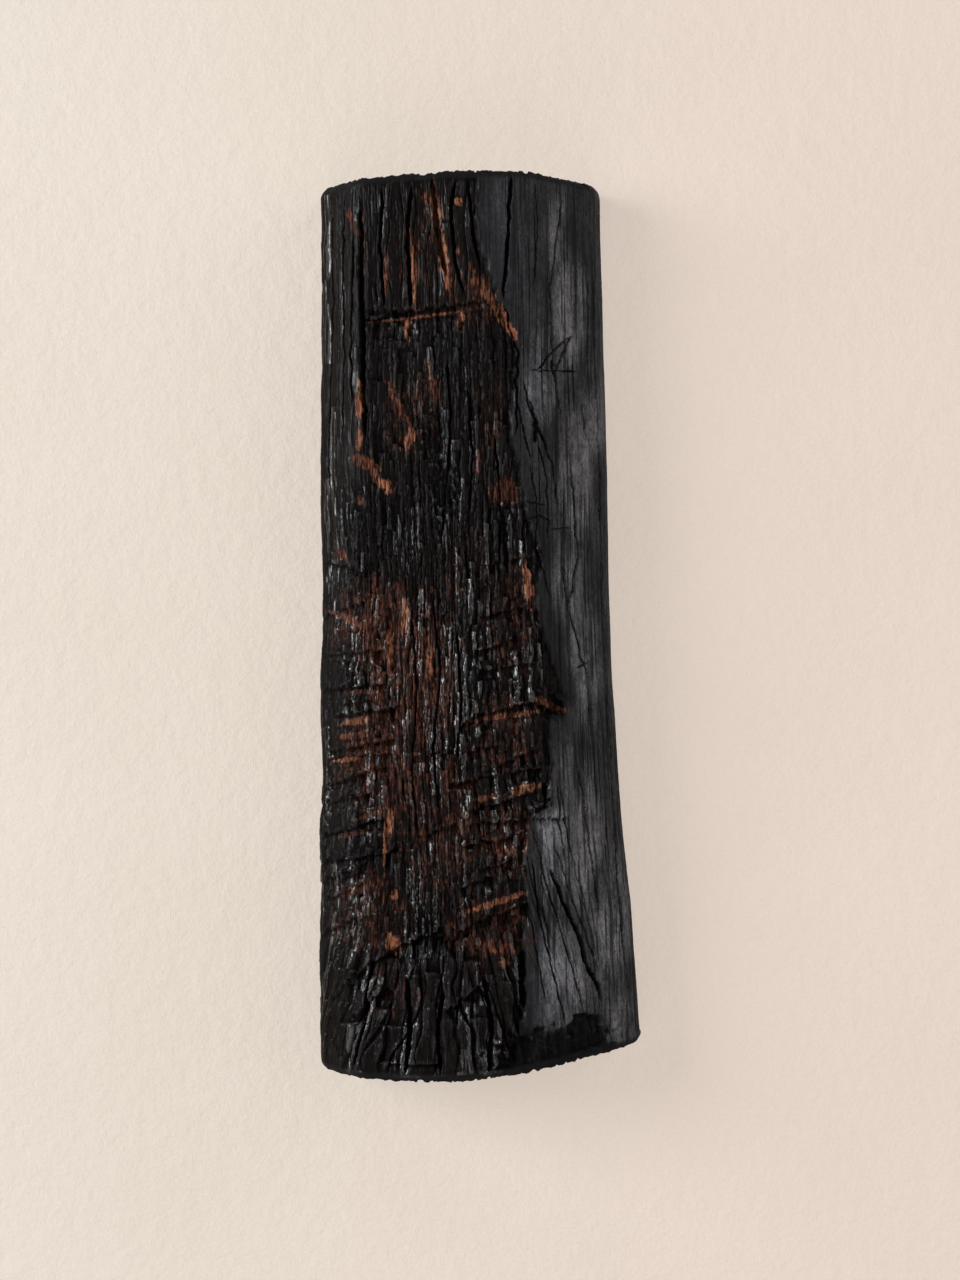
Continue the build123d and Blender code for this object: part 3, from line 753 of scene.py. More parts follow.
    def finish_char(self, x, z, grain):
        """Where the soot is pale, where painted shade darkens cracks, cuts and grooves, and where the char
        is glossy and polished.
        """
        pale = np.zeros(x.shape)
        for cx, cz, half_x, half_z, share in PALE_SOOT:
            pale = np.maximum(pale, share * ramp(-0.1, 0.7, blob(x, z, cx, cz, half_x, half_z)))
        pale = pale * (0.75 + 0.5 * noise(x / 11, z / 30, 171) + 0.3 * noise(x / 4, z / 12, 172))
        away = 0.35 + 0.65 * ramp(0, 16, x - rough_edge(z))
        mottle = 0.9 + 0.35 * noise(grain / 2.4, z / 5, 173) + 0.35 * noise(grain / 1.2, z / 3, 174)
        self.pale = np.clip((0.14 + pale) * away * mottle, 0, 1) * self.on_side
        # hollow is painted shade in cracks, pits, hewn cuts and the smooth side's grain grooves, and darkens
        # the burnt scoop with them
        hollow = self.open / 2.5 + 0.10 * self.cut + 0.95 * self.lines + 0.8 * self.scoop
        self.hollow = np.clip(hollow, 0, 1)
        self.gloss = np.clip(self.rough + self.left + 0.6 * self.scoop, 0, 1) * self.on_side
        polished = 0.10 + 0.95 * ramp(0.46, 0.80, 0.6 * self.shard_tint + 0.4 * self.splinter_tint)
        polished = polished * (0.50 + 0.50 * ramp(-90, -190, z) + 0.35 * self.foot)
        flank_tint = 0.5 * self.plank_tint + 0.3 * self.thread_tint + 0.2 * self.nap_tint
        glint = 0.10 + 1.30 * ramp(0.40, 0.64, flank_tint)
        self.shine = np.maximum(polished * (1 - self.left), self.left * glint) * self.ridge**0.5


# ---------------------------------------------------------------- meshes


def link(piece):
    """Puts an object into the scene."""
    bpy.context.scene.collection.objects.link(piece)
    return piece


class Shell:
    """Gathers places, in millimetres, and faces into one mesh."""

    def __init__(self):
        self.places = []
        self.faces = []
        self.count = 0

    def add(self, places):
        """Adds places and returns their numbers in the mesh."""
        places = np.asarray(places, float).reshape(-1, 3)
        self.places.append(places)
        self.count += len(places)
        return np.arange(self.count - len(places), self.count)

    def add_faces(self, faces):
        """Adds faces that all have the same number of corners."""
        self.faces.append(np.asarray(faces, np.int64))

    def grid(self, place):
        """Quads over a grid of places (rows, columns, 3)."""
        index = self.add(place).reshape(place.shape[:2])
        quads = np.stack([index[:-1, :-1], index[1:, :-1], index[1:, 1:], index[:-1, 1:]], 2)
        self.add_faces(quads.reshape(-1, 4))
        return index

    def close_ends(self, place, index):
        """A fan over the small opening at each end of a wrap. Returns the wrap's edge loop on the back."""
        tips = self.add([(place[n, 0] + place[n, -1]) / 2 for n in (0, -1)])
        top, bottom = index[0], index[-1]
        self.add_faces([(tips[0], a, b) for a, b in zip(top, top[1:])])
        self.add_faces([(tips[1], b, a) for a, b in zip(bottom, bottom[1:])])
        return np.r_[tips[0], index[:, 0], tips[1], index[::-1, -1]]

    def mesh(self, name):
        """Makes the scene object."""
        mesh = bpy.data.meshes.new(name)
        places = np.concatenate(self.places)
        loops = np.concatenate([face.reshape(-1) for face in self.faces])
        sizes = np.concatenate([np.full(len(face), face.shape[1]) for face in self.faces])
        mesh.vertices.add(len(places))
        mesh.vertices.foreach_set("co", (places.reshape(-1) * MM).astype(np.float32))
        mesh.loops.add(len(loops))
        mesh.loops.foreach_set("vertex_index", loops.astype(np.int32))
        mesh.polygons.add(len(sizes))
        mesh.polygons.foreach_set("loop_start", (np.cumsum(sizes) - sizes).astype(np.int32))
        mesh.polygons.foreach_set("use_smooth", np.ones(len(sizes), bool))
        mesh.update(calc_edges=True)
        mesh.validate()
        return link(bpy.data.objects.new(name, mesh))


def stitch(shell, fine, coarse, kept):
    """Joins a fine closed loop to a coarse one whose vertices each face fine[kept[n]]."""
    count = len(fine)
    for n, vertex in enumerate(coarse):
        start = kept[n]
        end = kept[n + 1] if n + 1 < len(coarse) else count
        shell.add_faces([(vertex, fine[(m + 1) % count], fine[m % count]) for m in range(start, end)])
        shell.add_faces([(vertex, coarse[(n + 1) % len(coarse)], fine[end % count])])


def paint(piece, name, values, fill=0.0):
    """Keeps a mask from 0 to 1 with the mesh, one value for each vertex. Vertices beyond them get fill."""
    whole = np.full(len(piece.data.vertices), fill, np.float32)
    whole[: values.size] = values.reshape(-1)
    piece.data.attributes.new(name, "FLOAT", "POINT").data.foreach_set("value", whole)


def unroll(piece, skin, index):
    """Lays the skin out flat as one strip in the piece's texture map, its inside beside it."""
    rows, columns = index.shape
    steps = np.linalg.norm(np.diff(skin.place[:, columns // 2], axis=0), axis=1)
    down = np.r_[0, np.cumsum(steps)]
    scale = 0.98 / down[-1]
    u = 0.01 + skin.girth * scale + 0 * down[:, None]
    v = 0.99 - down[:, None] * scale + 0 * skin.girth
    uv = np.zeros((len(piece.data.vertices), 2))
    uv[: rows * columns] = np.stack([u, v], 2).reshape(-1, 2)
    rest = np.zeros(len(piece.data.vertices) * 3)
    piece.data.vertices.foreach_get("co", rest)
    rest = rest.reshape(-1, 3)[rows * columns :] / MM
    uv[rows * columns :, 0] = 0.45 + (rest[:, 0] - LEFT) * scale * 0.9
    uv[rows * columns :, 1] = 0.02 + (rest[:, 2] - BOTTOM) * scale
    loops = np.zeros(len(piece.data.loops), np.int32)
    piece.data.loops.foreach_get("vertex_index", loops)
    layer = piece.data.uv_layers.new(name="OFBake")
    layer.data.foreach_set("uv", uv[loops].reshape(-1).astype(np.float32))


def burnt_skin(skin):
    """The burnt skin over the front, the sides and the ends, with its inside face."""
    carving = Carving(skin)
    place = skin.place + skin.out * carving.move[..., None]
    place[..., 1] = np.minimum(place[..., 1], BACK)
    place[:, 0, 1] = BACK
    place[:, -1, 1] = BACK
    shell = Shell()
    index = shell.grid(place)
    outer = shell.close_ends(place, index)
    rows, inner_place = inner_wrap(skin, 0)
    inside = Shell()
    inside_index = inside.grid(inner_place)
    inner = inside.close_ends(inner_place, inside_index)
    shift = shell.count
    shell.add(np.concatenate(inside.places))
    for faces in inside.faces:
        shell.add_faces(faces[:, ::-1] + shift)
    height = len(place)
    kept = np.r_[0, 1 + rows, height + 1, height + 2 + (height - 1 - rows[::-1])]
    stitch(shell, outer, inner + shift, kept)
    piece = shell.mesh("burnt_skin")
    for name in ("bare", "bright", "hollow", "gloss", "cavity", "ridge", "shine", "pale", "warm"):
        paint(piece, name, getattr(carving, name))
    paint(piece, "end", skin.end)
    unroll(piece, skin, index)
    return piece


# ---------------------------------------------------------------- the wood inside, and its sawn back

FIT = 0.3  # gap between the burnt skin and the wood inside
BACK_PITCH = 1.3  # of the grid on the sawn face
BACK_MARGIN = 4.0  # flat border round the sawn face
BACK_INSET = 10.0  # how far the skin's back edge reaches in from the timber's side
SAW_PITCH = 5.2
BACK_DEPTH = 0.45  # mean depth of the sawn face below the timber's back plane
# Checks that opened in the sawn back: (width, depth, points)
BACK_CHECKS = [
    (2.2, 7.0, [(12, 88), (9, 40), (14, -30), (8, -120), (11, -170)]),
    (1.8, 5.0, [(-28, -60), (-24, -140), (-30, -230), (-26, -330)]),
    (2.4, 7.0, [(28, -220), (33, -300), (29, -380), (34, -488)]),
    (1.6, 4.0, [(-72, 20), (-75, -40), (-71, -110)]),
    (1.6, 4.0, [(78, -150), (83, -240), (81, -310)]),
    (1.5, 4.0, [(-48, -380), (-44, -440), (-47, -490)]),
]


def back_relief(x, z):
    """How far the sawn back lies below its plane: saw strokes, open grain, low patches and checks."""
    stroke = z + 0.22 * x + 2.5 * noise(x / 60, z / 60, 301)
    strokes = 0.16 * np.sin(stroke * 2 * np.pi / SAW_PITCH) + 0.12 * noise(stroke / 1.9, x / 70, 302)
    grain = 0.22 * layered((x + wander(x, z, 303)) / 2.6, z / 60, 304, 3)
    low = 1.2 * ramp(0.2, 0.9, noise(x / 45, z / 80, 305))
    open_wood = np.zeros(x.shape)
    for n, (width, deep, points) in enumerate(BACK_CHECKS):
        split(open_wood, x, z, width, deep, points, 320 + 5 * n)
    return np.maximum(BACK_DEPTH + strokes + grain + low, 0.05) + open_wood


def back_edges(z):
    """X of the sawn back's left and right edges."""
    left, right = left_side(z), right_side(z)
    return left + BACK_INSET, right - BACK_INSET * (right - left) / SECTION_WIDTH


def sawn_back(shell):
    """Adds the fine sawn face. Returns its edge loop, which a flat border joins to the wood's own."""
    share_x = np.linspace(0, 1, int(SECTION_WIDTH / BACK_PITCH))
    share_z = np.linspace(0, 1, int((TOP - BOTTOM) / BACK_PITCH))[:, None]
    margin = END_RIM + FIT + BACK_MARGIN
    guess = TOP + (BOTTOM - TOP) * share_z
    low, high = back_edges(guess)
    x = low + BACK_MARGIN + share_x * (high - low - 2 * BACK_MARGIN)
    z = (top_end(x) - margin) * (1 - share_z) + (bottom_end(x) + margin) * share_z
    edge = np.minimum(np.minimum(share_x, 1 - share_x) * 200, np.minimum(share_z, 1 - share_z) * 600)
    y = BACK - back_relief(x, z) * ramp(0, 6, edge)
    index = shell.grid(np.stack([x, y, z], 2))
    shell.faces[-1] = shell.faces[-1][:, ::-1]
    return np.r_[index[0], index[1:, -1], index[-1, -2::-1], index[-2:0:-1, 0]]


# Room for the wall screws' heads behind the keyhole plates, and the plate screws' holes
ROOM_HALF, ROOM_R, ROOM_DEPTH = 6.0, 6.0, 11.0
HOLE_R = 2.25
HOLE_SPARE = 0.3  # how much deeper each hole is than its screw
CUTTER_SPARE = 1.0  # how far the cutters stand out of the back
SLOT_SIDES = 24


def slot_prism(mesh, x, low, high, radius, near_y, far_y):
    """Adds a round-ended upright slot to a bmesh, running into the timber from near_y to far_y."""
    near, far = [], []
    for y, ring in ((near_y, near), (far_y, far)):
        for step in range(SLOT_SIDES):
            turn = 2 * math.pi * (step + 0.5) / SLOT_SIDES
            middle = high if math.sin(turn) > 0 else low
            place = Vector((x + radius * math.cos(turn), y, middle + radius * math.sin(turn)))
            ring.append(mesh.verts.new(place * MM))
    mesh.faces.new(near)
    mesh.faces.new(far[::-1])
    for n in range(SLOT_SIDES):
        m = (n + 1) % SLOT_SIDES
        mesh.faces.new((near[m], near[n], far[n], far[m]))


def inner_wood(skin):
    """The sound wood inside, with its sawn back, the wall screws' room and the plate screws' holes."""
    inner_place = inner_wrap(skin, FIT)[1]
    shell = Shell()
    index = shell.grid(inner_place)
    loop = shell.close_ends(inner_place, index)
    rim = sawn_back(shell)
    piece = shell.mesh("inner_wood")
    work = bmesh.new()
    work.from_mesh(piece.data)
    work.verts.ensure_lookup_table()
    edges = []
    for ring in (loop, rim):
        for a, b in zip(ring, np.roll(ring, -1)):
            pair = (work.verts[a], work.verts[b])
            edges.append(work.edges.get(pair) or work.edges.new(pair))
    bmesh.ops.triangle_fill(work, use_beauty=True, edges=edges)
    bmesh.ops.recalc_face_normals(work, faces=work.faces)
    work.to_mesh(piece.data)
    work.free()
    cut_fittings_room(piece)
    return piece


def cut_fittings_room(piece):
    """Cuts the room and the holes out of the sawn back."""
    cutters = bmesh.new()
    near_y = BACK + CUTTER_SPARE
    for side in ("left", "right"):
        plate_low, plate_high = mm_box(f"keyhole_plate_{side}")
        x, _, middle = (plate_low + plate_high) / 2
        low_end, high_end = middle - ROOM_HALF, middle + ROOM_HALF
        slot_prism(cutters, x, low_end, high_end, ROOM_R, near_y, BACK - ROOM_DEPTH)
        for end in ("upper", "lower"):
            low, high = mm_box(f"plate_screw_{side}_{end}")
            z = (low[2] + high[2]) / 2
            slot_prism(cutters, x, z, z, HOLE_R, near_y, low[1] - HOLE_SPARE)
    mesh = bpy.data.meshes.new("fittings_room")
    bmesh.ops.recalc_face_normals(cutters, faces=cutters.faces)
    cutters.to_mesh(mesh)
    cutters.free()
    tool = link(bpy.data.objects.new("fittings_room", mesh))
    cut = piece.modifiers.new("room", "BOOLEAN")
    cut.operation = "DIFFERENCE"
    cut.solver = "EXACT"
    cut.object = tool
    bpy.context.view_layer.update()
    whole = bpy.data.meshes.new_from_object(piece.evaluated_get(bpy.context.evaluated_depsgraph_get()))
    piece.modifiers.clear()
    piece.data = whole
    bpy.data.objects.remove(tool)


def paint_wood(piece):
    """Where the wood is scorched at its edges, and painted shade where it has opened or lies deep below the
    back.
    """
    places = np.zeros(len(piece.data.vertices) * 3)
    piece.data.vertices.foreach_get("co", places)
    x, y, z = places.reshape(-1, 3).T / MM
    low, high = back_edges(z)
    to_end = np.minimum(top_end(x) - z, z - bottom_end(x)) - END_RIM
    to_edge = np.minimum(np.minimum(x - low, high - x), to_end)
    reach = 9 + 7 * layered(x / 22, z / 40, 331, 3) + 4 * noise(x / 3, z / 26, 335)
    paint(piece, "scorch", ramp(1, 0, to_edge / np.maximum(reach, 1.5)))
    # Painted shade: darker the deeper the wood lies below the back
    paint(piece, "hollow", np.clip((BACK - y - 1.4) / 3, 0, 1))


# ---------------------------------------------------------------- felt pads


def felt_pad(name, node):
    """A felt disc with soft edges, pressed flat against the wall and stuck to the wood."""
    low, high = mm_box(node)
    centre = (low + high) / 2
    radius, thick = (high[0] - low[0]) / 2, high[1] - low[1]
    seed = 400 + int(abs(centre[0]) + 3 * abs(centre[2]))
    turns = np.linspace(0, 2 * np.pi, 120, endpoint=False)
    profile = [(0.02, 0)] + [(r, 0) for r in np.linspace(0.1, 0.86, 18)]
    profile += [(0.86 + 0.14 * math.sin(a), 0.18 * (1 - math.cos(a))) for a in np.linspace(0.2, 1.57, 7)]
    profile += [(1.0, t) for t in np.linspace(0.25, 0.9, 7)] + [(0.99, 0.97), (0.96, 1.0)]
    profile += [(r, 1.0) for r in np.linspace(0.85, 0.02, 8)]
    share, down = np.array(profile).T
    fuzz_x, fuzz_y = 18 * np.cos(turns)[None] + 40, 18 * np.sin(turns)[None] + down[:, None] * 6
    fuzz = 0.10 * layered(fuzz_x, fuzz_y, seed, 3) * ramp(0.8, 1, share)[:, None]
    r = radius * share[:, None] * (1 - 0.012 + 0.10 * fuzz)
    x = centre[0] + r * np.cos(turns)
    z = centre[2] + r * np.sin(turns)
    nap = 0.10 * layered(x / 1.1, z / 1.1, seed + 5, 3) + 0.05
    y = high[1] - thick * down[:, None] - np.abs(nap) * ramp(0.9, 0.0, down)[:, None]
    place = np.stack([x, y, z], 2)
    shell = Shell()
    index = shell.add(place).reshape(x.shape)
    ahead = np.roll(index, -1, axis=1)
    quads = np.stack([index[:-1], index[1:], ahead[1:], ahead[:-1]], 2)
    shell.add_faces(quads.reshape(-1, 4))
    tips = shell.add([(centre[0], high[1] - 0.05, centre[2]), (centre[0], low[1], centre[2])])
    shell.add_faces([(tips[0], a, b) for a, b in zip(index[0], np.roll(index[0], -1))])
    shell.add_faces([(tips[1], b, a) for a, b in zip(index[-1], np.roll(index[-1], -1))])
    return shell.mesh(name)


# ---------------------------------------------------------------- colours and light levels

SOOT_DARK = (0.0115, 0.0115, 0.0126, 1)
SOOT_LIGHT = (0.275, 0.270, 0.290, 1)
GLOSS_DARK = (0.0036, 0.0022, 0.0019, 1)
GLOSS_WARM = (0.0105, 0.0038, 0.0027, 1)
# Painted highlight on the ridges of the glossy char
RIDGE_HIGHLIGHT = (0.026, 0.023, 0.024, 1)
END_BLACK = (0.010, 0.0095, 0.010, 1)
# Painted shade in cracks and recesses, on the char and on bare wood; the dark brown is also that of the
# wood's flecks
CRACK_SHADE = (0.0015, 0.0014, 0.0014, 1)
DARK_BROWN_AND_SHADE = (0.016, 0.006, 0.004, 1)
BROWN = (0.132, 0.045, 0.025, 1)
ORANGE = (0.34, 0.14, 0.072, 1)
SAWN_DARK = (0.20, 0.125, 0.075, 1)
SAWN_LIGHT = (0.38, 0.26, 0.165, 1)
SAWN_GREY = (0.25, 0.20, 0.15, 1)
# Painted shade in the sawn back's checks and the fittings' room
BROWN_CRACK_SHADE = (0.030, 0.018, 0.011, 1)
TOASTED = (0.085, 0.042, 0.022, 1)
CRUST_BLACK = (0.014, 0.013, 0.013, 1)
FELT_DARK = (0.05, 0.05, 0.048, 1)
FELT_LIGHT = (0.12, 0.12, 0.115, 1)
ZINC_DARK = (0.42, 0.42, 0.43, 1)
ZINC_LIGHT = (0.62, 0.62, 0.63, 1)
YELLOW_DARK = (0.44, 0.33, 0.16, 1)
YELLOW_LIGHT = (0.62, 0.50, 0.26, 1)
WALL_LEFT = (0.87, 0.78, 0.68, 1)
WALL_RIGHT = (0.90, 0.76, 0.66, 1)
WALL_SHADE = (0.80, 0.69, 0.59, 1)
AIR = (0.95, 0.97, 1.0, 1)
AIR_STRENGTH = 0.14
BEYOND = (0.80, 0.71, 0.62, 1)  # what is seen past the wall
GLOW, GLOW_SHARE = 0.94, 0.62  # the wall's own light, and how much of it mixes in
# Lamps: (name, place in metres, width, watts, colour)
LAMPS = [
    ("window", (-2.4, -1.5, 0.45), 1.6, 92.0, (0.93, 0.97, 1.0)),
    ("far_window", (2.4, -2.0, 0.5), 2.8, 40.0, (1.0, 0.97, 0.94)),
    ("floor_glow", (-0.2, -2.0, -2.3), 2.8, 24.0, (1.0, 0.97, 0.94)),
    ("behind", (0.6, 1.6, 0.6), 1.4, 30.0, (1.0, 0.99, 0.97)),
]
LAMP_TARGET = (0.0, -0.05, -0.2)  # the place in metres that they all face
SOOT_ROUGHNESS, GLOSS_ROUGHNESS = 0.62, 0.48
GLAZE_ROUGHNESS, GLAZE_IOR, CHAR_SPECULAR = 0.30, 1.8, 0.04
WALL_HALF = 4.0  # metres
LENS, SENSOR_WIDTH = 65.1, 36.0


# ---------------------------------------------------------------- materials


class Nodes:
    """Short ways to add and join shader nodes in one tree."""

    def __init__(self, tree):
        self.tree = tree

    def add(self, kind, settings=None, **inputs):
        """A new node with its settings and inputs. An underscore stands for a space in an input's name."""
        node = self.tree.nodes.new(kind)
        for name, value in (settings or {}).items():
            setattr(node, name, value)
        for name, value in inputs.items():
            self.put(value, node.inputs[name.replace("_", " ")])
        return node

    def put(self, value, socket):
        """Links another socket to this one, or sets its value."""
        if isinstance(value, bpy.types.NodeSocket):
            self.tree.links.new(value, socket)
        else:
            socket.default_value = value

    def noise(self, vector, scale, detail=4.0, roughness=0.55):
        """Cloudy noise from 0 to 1."""
        node = self.add("ShaderNodeTexNoise", Scale=scale, Detail=detail, Roughness=roughness)
        self.put(vector, node.inputs["Vector"])
        return node.outputs["Fac"]

    def stretched(self, x, y, z):
        """Object coordinates in metres, multiplied along each axis."""
        place = self.add("ShaderNodeTexCoord").outputs["Object"]
        return self.scaled(place, (x, y, z))

    def scaled(self, vector, factors):
        """A vector multiplied along each axis."""
        node = self.add("ShaderNodeVectorMath", {"operation": "MULTIPLY"})
        self.put(vector, node.inputs[0])
        node.inputs[1].default_value = factors
        return node.outputs[0]

    def math(self, operation, a, b=0.0, clamp=False):
        """A sum on two values."""
        node = self.add("ShaderNodeMath", {"operation": operation, "use_clamp": clamp})
        self.put(a, node.inputs[0])
        self.put(b, node.inputs[1])
        return node.outputs[0]

    def ramp(self, value, low, high, out_low=0.0, out_high=1.0):
        """A smooth step from out_low to out_high as the value goes from low to high."""
        node = self.add("ShaderNodeMapRange", {"interpolation_type": "SMOOTHSTEP"})
        self.put(value, node.inputs["Value"])
        node.inputs["From Min"].default_value = low
        node.inputs["From Max"].default_value = high
        node.inputs["To Min"].default_value = out_low
        node.inputs["To Max"].default_value = out_high
        return node.outputs["Result"]

    def mix(self, share, first, second):
        """A colour between two, by share."""
        node = self.add("ShaderNodeMix", {"data_type": "RGBA"})
        self.put(share, node.inputs[0])
        self.put(first, node.inputs[6])
        self.put(second, node.inputs[7])
        return node.outputs[2]

    def times(self, a, b, clamp=False):
        """The product of two values."""
        return self.math("MULTIPLY", a, b, clamp)

    def weighted(self, first, weight, second, other_weight):
        """The sum of two values, each times its weight."""
        return self.math("ADD", self.times(first, weight), self.times(second, other_weight))

    def bump(self, shader, height, strength, distance):
        """Fine relief in the shading."""
        node = self.add("ShaderNodeBump", Strength=strength, Distance=distance, Height=height)
        self.put(node.outputs["Normal"], shader.inputs["Normal"])

    def mask(self, name):
        """A mask that was painted on the mesh."""
        return self.add("ShaderNodeAttribute", {"attribute_name": name}).outputs["Fac"]


def new_material(name):
    """A material, its node tree and its main shader."""
    material = bpy.data.materials.new(name)
    material.use_nodes = True
    tree = material.node_tree
    return material, Nodes(tree), tree.nodes["Principled BSDF"]


def new_group(name, inputs, outputs):
    """A shader node group with (kind, name, default) inputs and (kind, name) outputs."""
    tree = bpy.data.node_groups.new(name, "ShaderNodeTree")
    for kind, label, default in inputs:
        socket = tree.interface.new_socket(label, in_out="INPUT", socket_type=kind)
        socket.default_value = default
    for kind, label in outputs:
        tree.interface.new_socket(label, in_out="OUTPUT", socket_type=kind)
    nodes = Nodes(tree)
    return tree, nodes, nodes.add("NodeGroupInput"), nodes.add("NodeGroupOutput")


def use_group(nodes, tree, **inputs):
    """A node that runs a group."""
    node = nodes.add("ShaderNodeGroup", {"node_tree": tree})
    for name, value in inputs.items():
        nodes.put(value, node.inputs[name.replace("_", " ")])
    return node


VALUE = "NodeSocketFloat"


def wood_grain_group():
    """Grain that runs up the timber: a fine streak value and a height for bump."""
    tree, nodes, given, made = new_group(
        "wood_grain", [(VALUE, "Fineness", 1.0)], [(VALUE, "Streak"), (VALUE, "Height")]
    )
    place = nodes.add("ShaderNodeTexCoord").outputs["Object"]
    streak_place = nodes.scaled(place, (900, 900, 26))
    scaled = nodes.add("ShaderNodeVectorMath", {"operation": "SCALE"})
    nodes.put(streak_place, scaled.inputs[0])
    nodes.put(given.outputs["Fineness"], scaled.inputs["Scale"])
    streak = nodes.noise(scaled.outputs[0], 0.35, 5.0, 0.6)
    nodes.put(streak, made.inputs["Streak"])
    fine = nodes.noise(scaled.outputs[0], 1.1, 3.0, 0.5)
    nodes.put(nodes.weighted(streak, 0.6, fine, 0.4), made.inputs["Height"])
    return tree


def char_speckle_group():
    """The crazed surface of char: fine cross cracks and pits, as a height, and ash-grey blotches."""
    tree, nodes, given, made = new_group(
        "char_speckle", [(VALUE, "Size", 1.0)], [(VALUE, "Height"), (VALUE, "Blotch"), (VALUE, "Pits")]
    )
    place = nodes.add("ShaderNodeTexCoord").outputs["Object"]
    scaled = nodes.add("ShaderNodeVectorMath", {"operation": "SCALE"})
    nodes.put(place, scaled.inputs[0])
    nodes.put(given.outputs["Size"], scaled.inputs["Scale"])
    crazing = nodes.add("ShaderNodeTexVoronoi", {"feature": "DISTANCE_TO_EDGE"}, Scale=1.0)
    nodes.put(nodes.scaled(scaled.outputs[0], (420, 420, 240)), crazing.inputs["Vector"])
    cracks = nodes.ramp(crazing.outputs["Distance"], 0.0, 0.09)
    pits = nodes.noise(nodes.scaled(scaled.outputs[0], (1100, 1100, 700)), 1.0, 3.0, 0.6)
    nodes.put(nodes.weighted(cracks, 0.5, pits, 0.5), made.inputs["Height"])
    blotches = nodes.noise(nodes.scaled(scaled.outputs[0], (55, 55, 24)), 1.0, 5.0, 0.6)
    nodes.put(blotches, made.inputs["Blotch"])
    nodes.put(nodes.ramp(pits, 0.30, 0.55), made.inputs["Pits"])
    return tree


def char_material(grain_group, speckle_group):
    """Burnt wood: pale soot on the smooth side, polished black char where it is hewn, and bare wood, with
    painted shade in recesses and painted highlights on ridges.
    """
    material, nodes, shader = new_material("burnt_wood")
    grain = use_group(nodes, grain_group, Fineness=1.0)
    speckle = use_group(nodes, speckle_group, Size=1.0)
    bare, bright = nodes.mask("bare"), nodes.mask("bright")
    hollow, gloss = nodes.mask("hollow"), nodes.mask("gloss")
    cavity, ridge = nodes.mask("cavity"), nodes.mask("ridge")
    # Painted shade: cracks, cuts, grooves and dips go towards black, and the glaze thins there
    painted_shade = nodes.math("MAXIMUM", hollow, cavity)
    blotch = nodes.ramp(speckle.outputs["Blotch"], 0.30, 0.66, 0.45, 1.25)
    dull = nodes.mix(nodes.times(nodes.mask("pale"), blotch, clamp=True), SOOT_DARK, SOOT_LIGHT)
    dull = nodes.mix(nodes.ramp(grain.outputs["Streak"], 0.50, 0.40, 0.0, 0.80), dull, SOOT_DARK)
    grit = nodes.noise(nodes.stretched(1500, 1500, 700), 1.0, 3.0, 0.6)
    dull = nodes.mix(nodes.ramp(grit, 0.50, 0.34, 0.0, 0.75), dull, SOOT_DARK)
    soft_black = nodes.mix(nodes.mask("warm"), GLOSS_DARK, GLOSS_WARM)
    # Painted highlights: threads of lighter colour along the ridges of the glossy char
    threads = nodes.ramp(nodes.noise(nodes.stretched(900, 900, 70), 1.0, 4.0, 0.65), 0.46, 0.66)
    painted_ridge_highlight = nodes.mix(nodes.times(ridge, threads), soft_black, RIDGE_HIGHLIGHT)
    black = nodes.mix(gloss, dull, painted_ridge_highlight)
    # Painted shade over the char in cracks and recesses
    black = nodes.mix(nodes.times(painted_shade, 0.9), black, CRACK_SHADE)
    flecks = nodes.noise(nodes.stretched(700, 700, 160), 1.0, 4.0, 0.6)
    brown = nodes.mix(nodes.ramp(flecks, 0.38, 0.66), DARK_BROWN_AND_SHADE, BROWN)
    orange = nodes.mix(nodes.ramp(flecks, 0.40, 0.60), BROWN, ORANGE)
    wood = nodes.mix(nodes.ramp(bright, 0.55, 1.0), brown, orange)
    # Painted shade over bare wood in cracks and recesses
    wood = nodes.mix(nodes.times(painted_shade, 0.75), wood, DARK_BROWN_AND_SHADE)
    charred_spots = nodes.ramp(nodes.noise(nodes.stretched(500, 500, 90), 1.0, 4.0, 0.6), 0.36, 0.50)
    share = nodes.times(bare, charred_spots)
    skin_colour = nodes.mix(share, black, wood)
    nodes.put(nodes.mix(nodes.mask("end"), skin_colour, END_BLACK), shader.inputs["Base Color"])
    pitted = nodes.times(speckle.outputs["Pits"], 0.08)
    rough_char = nodes.math("ADD", nodes.ramp(gloss, 0, 1, SOOT_ROUGHNESS, GLOSS_ROUGHNESS), pitted)
    rough = nodes.math("ADD", rough_char, nodes.times(share, 0.25), clamp=True)
    nodes.put(rough, shader.inputs["Roughness"])
    polish = nodes.times(gloss, nodes.ramp(nodes.mask("shine"), 0.0, 1.2, 0.03, 0.85))
    glaze = nodes.times(nodes.ramp(painted_shade, 0.0, 0.9, 1.0, 0.1), polish, clamp=True)
    nodes.put(glaze, shader.inputs["Coat Weight"])
    shader.inputs["Coat Roughness"].default_value = GLAZE_ROUGHNESS
    shader.inputs["Coat IOR"].default_value = GLAZE_IOR
    shader.inputs["Specular IOR Level"].default_value = CHAR_SPECULAR
    relief = nodes.weighted(grain.outputs["Height"], 0.6, speckle.outputs["Height"], 0.5)
    nodes.bump(shader, relief, 0.5, 0.0005)
    return material


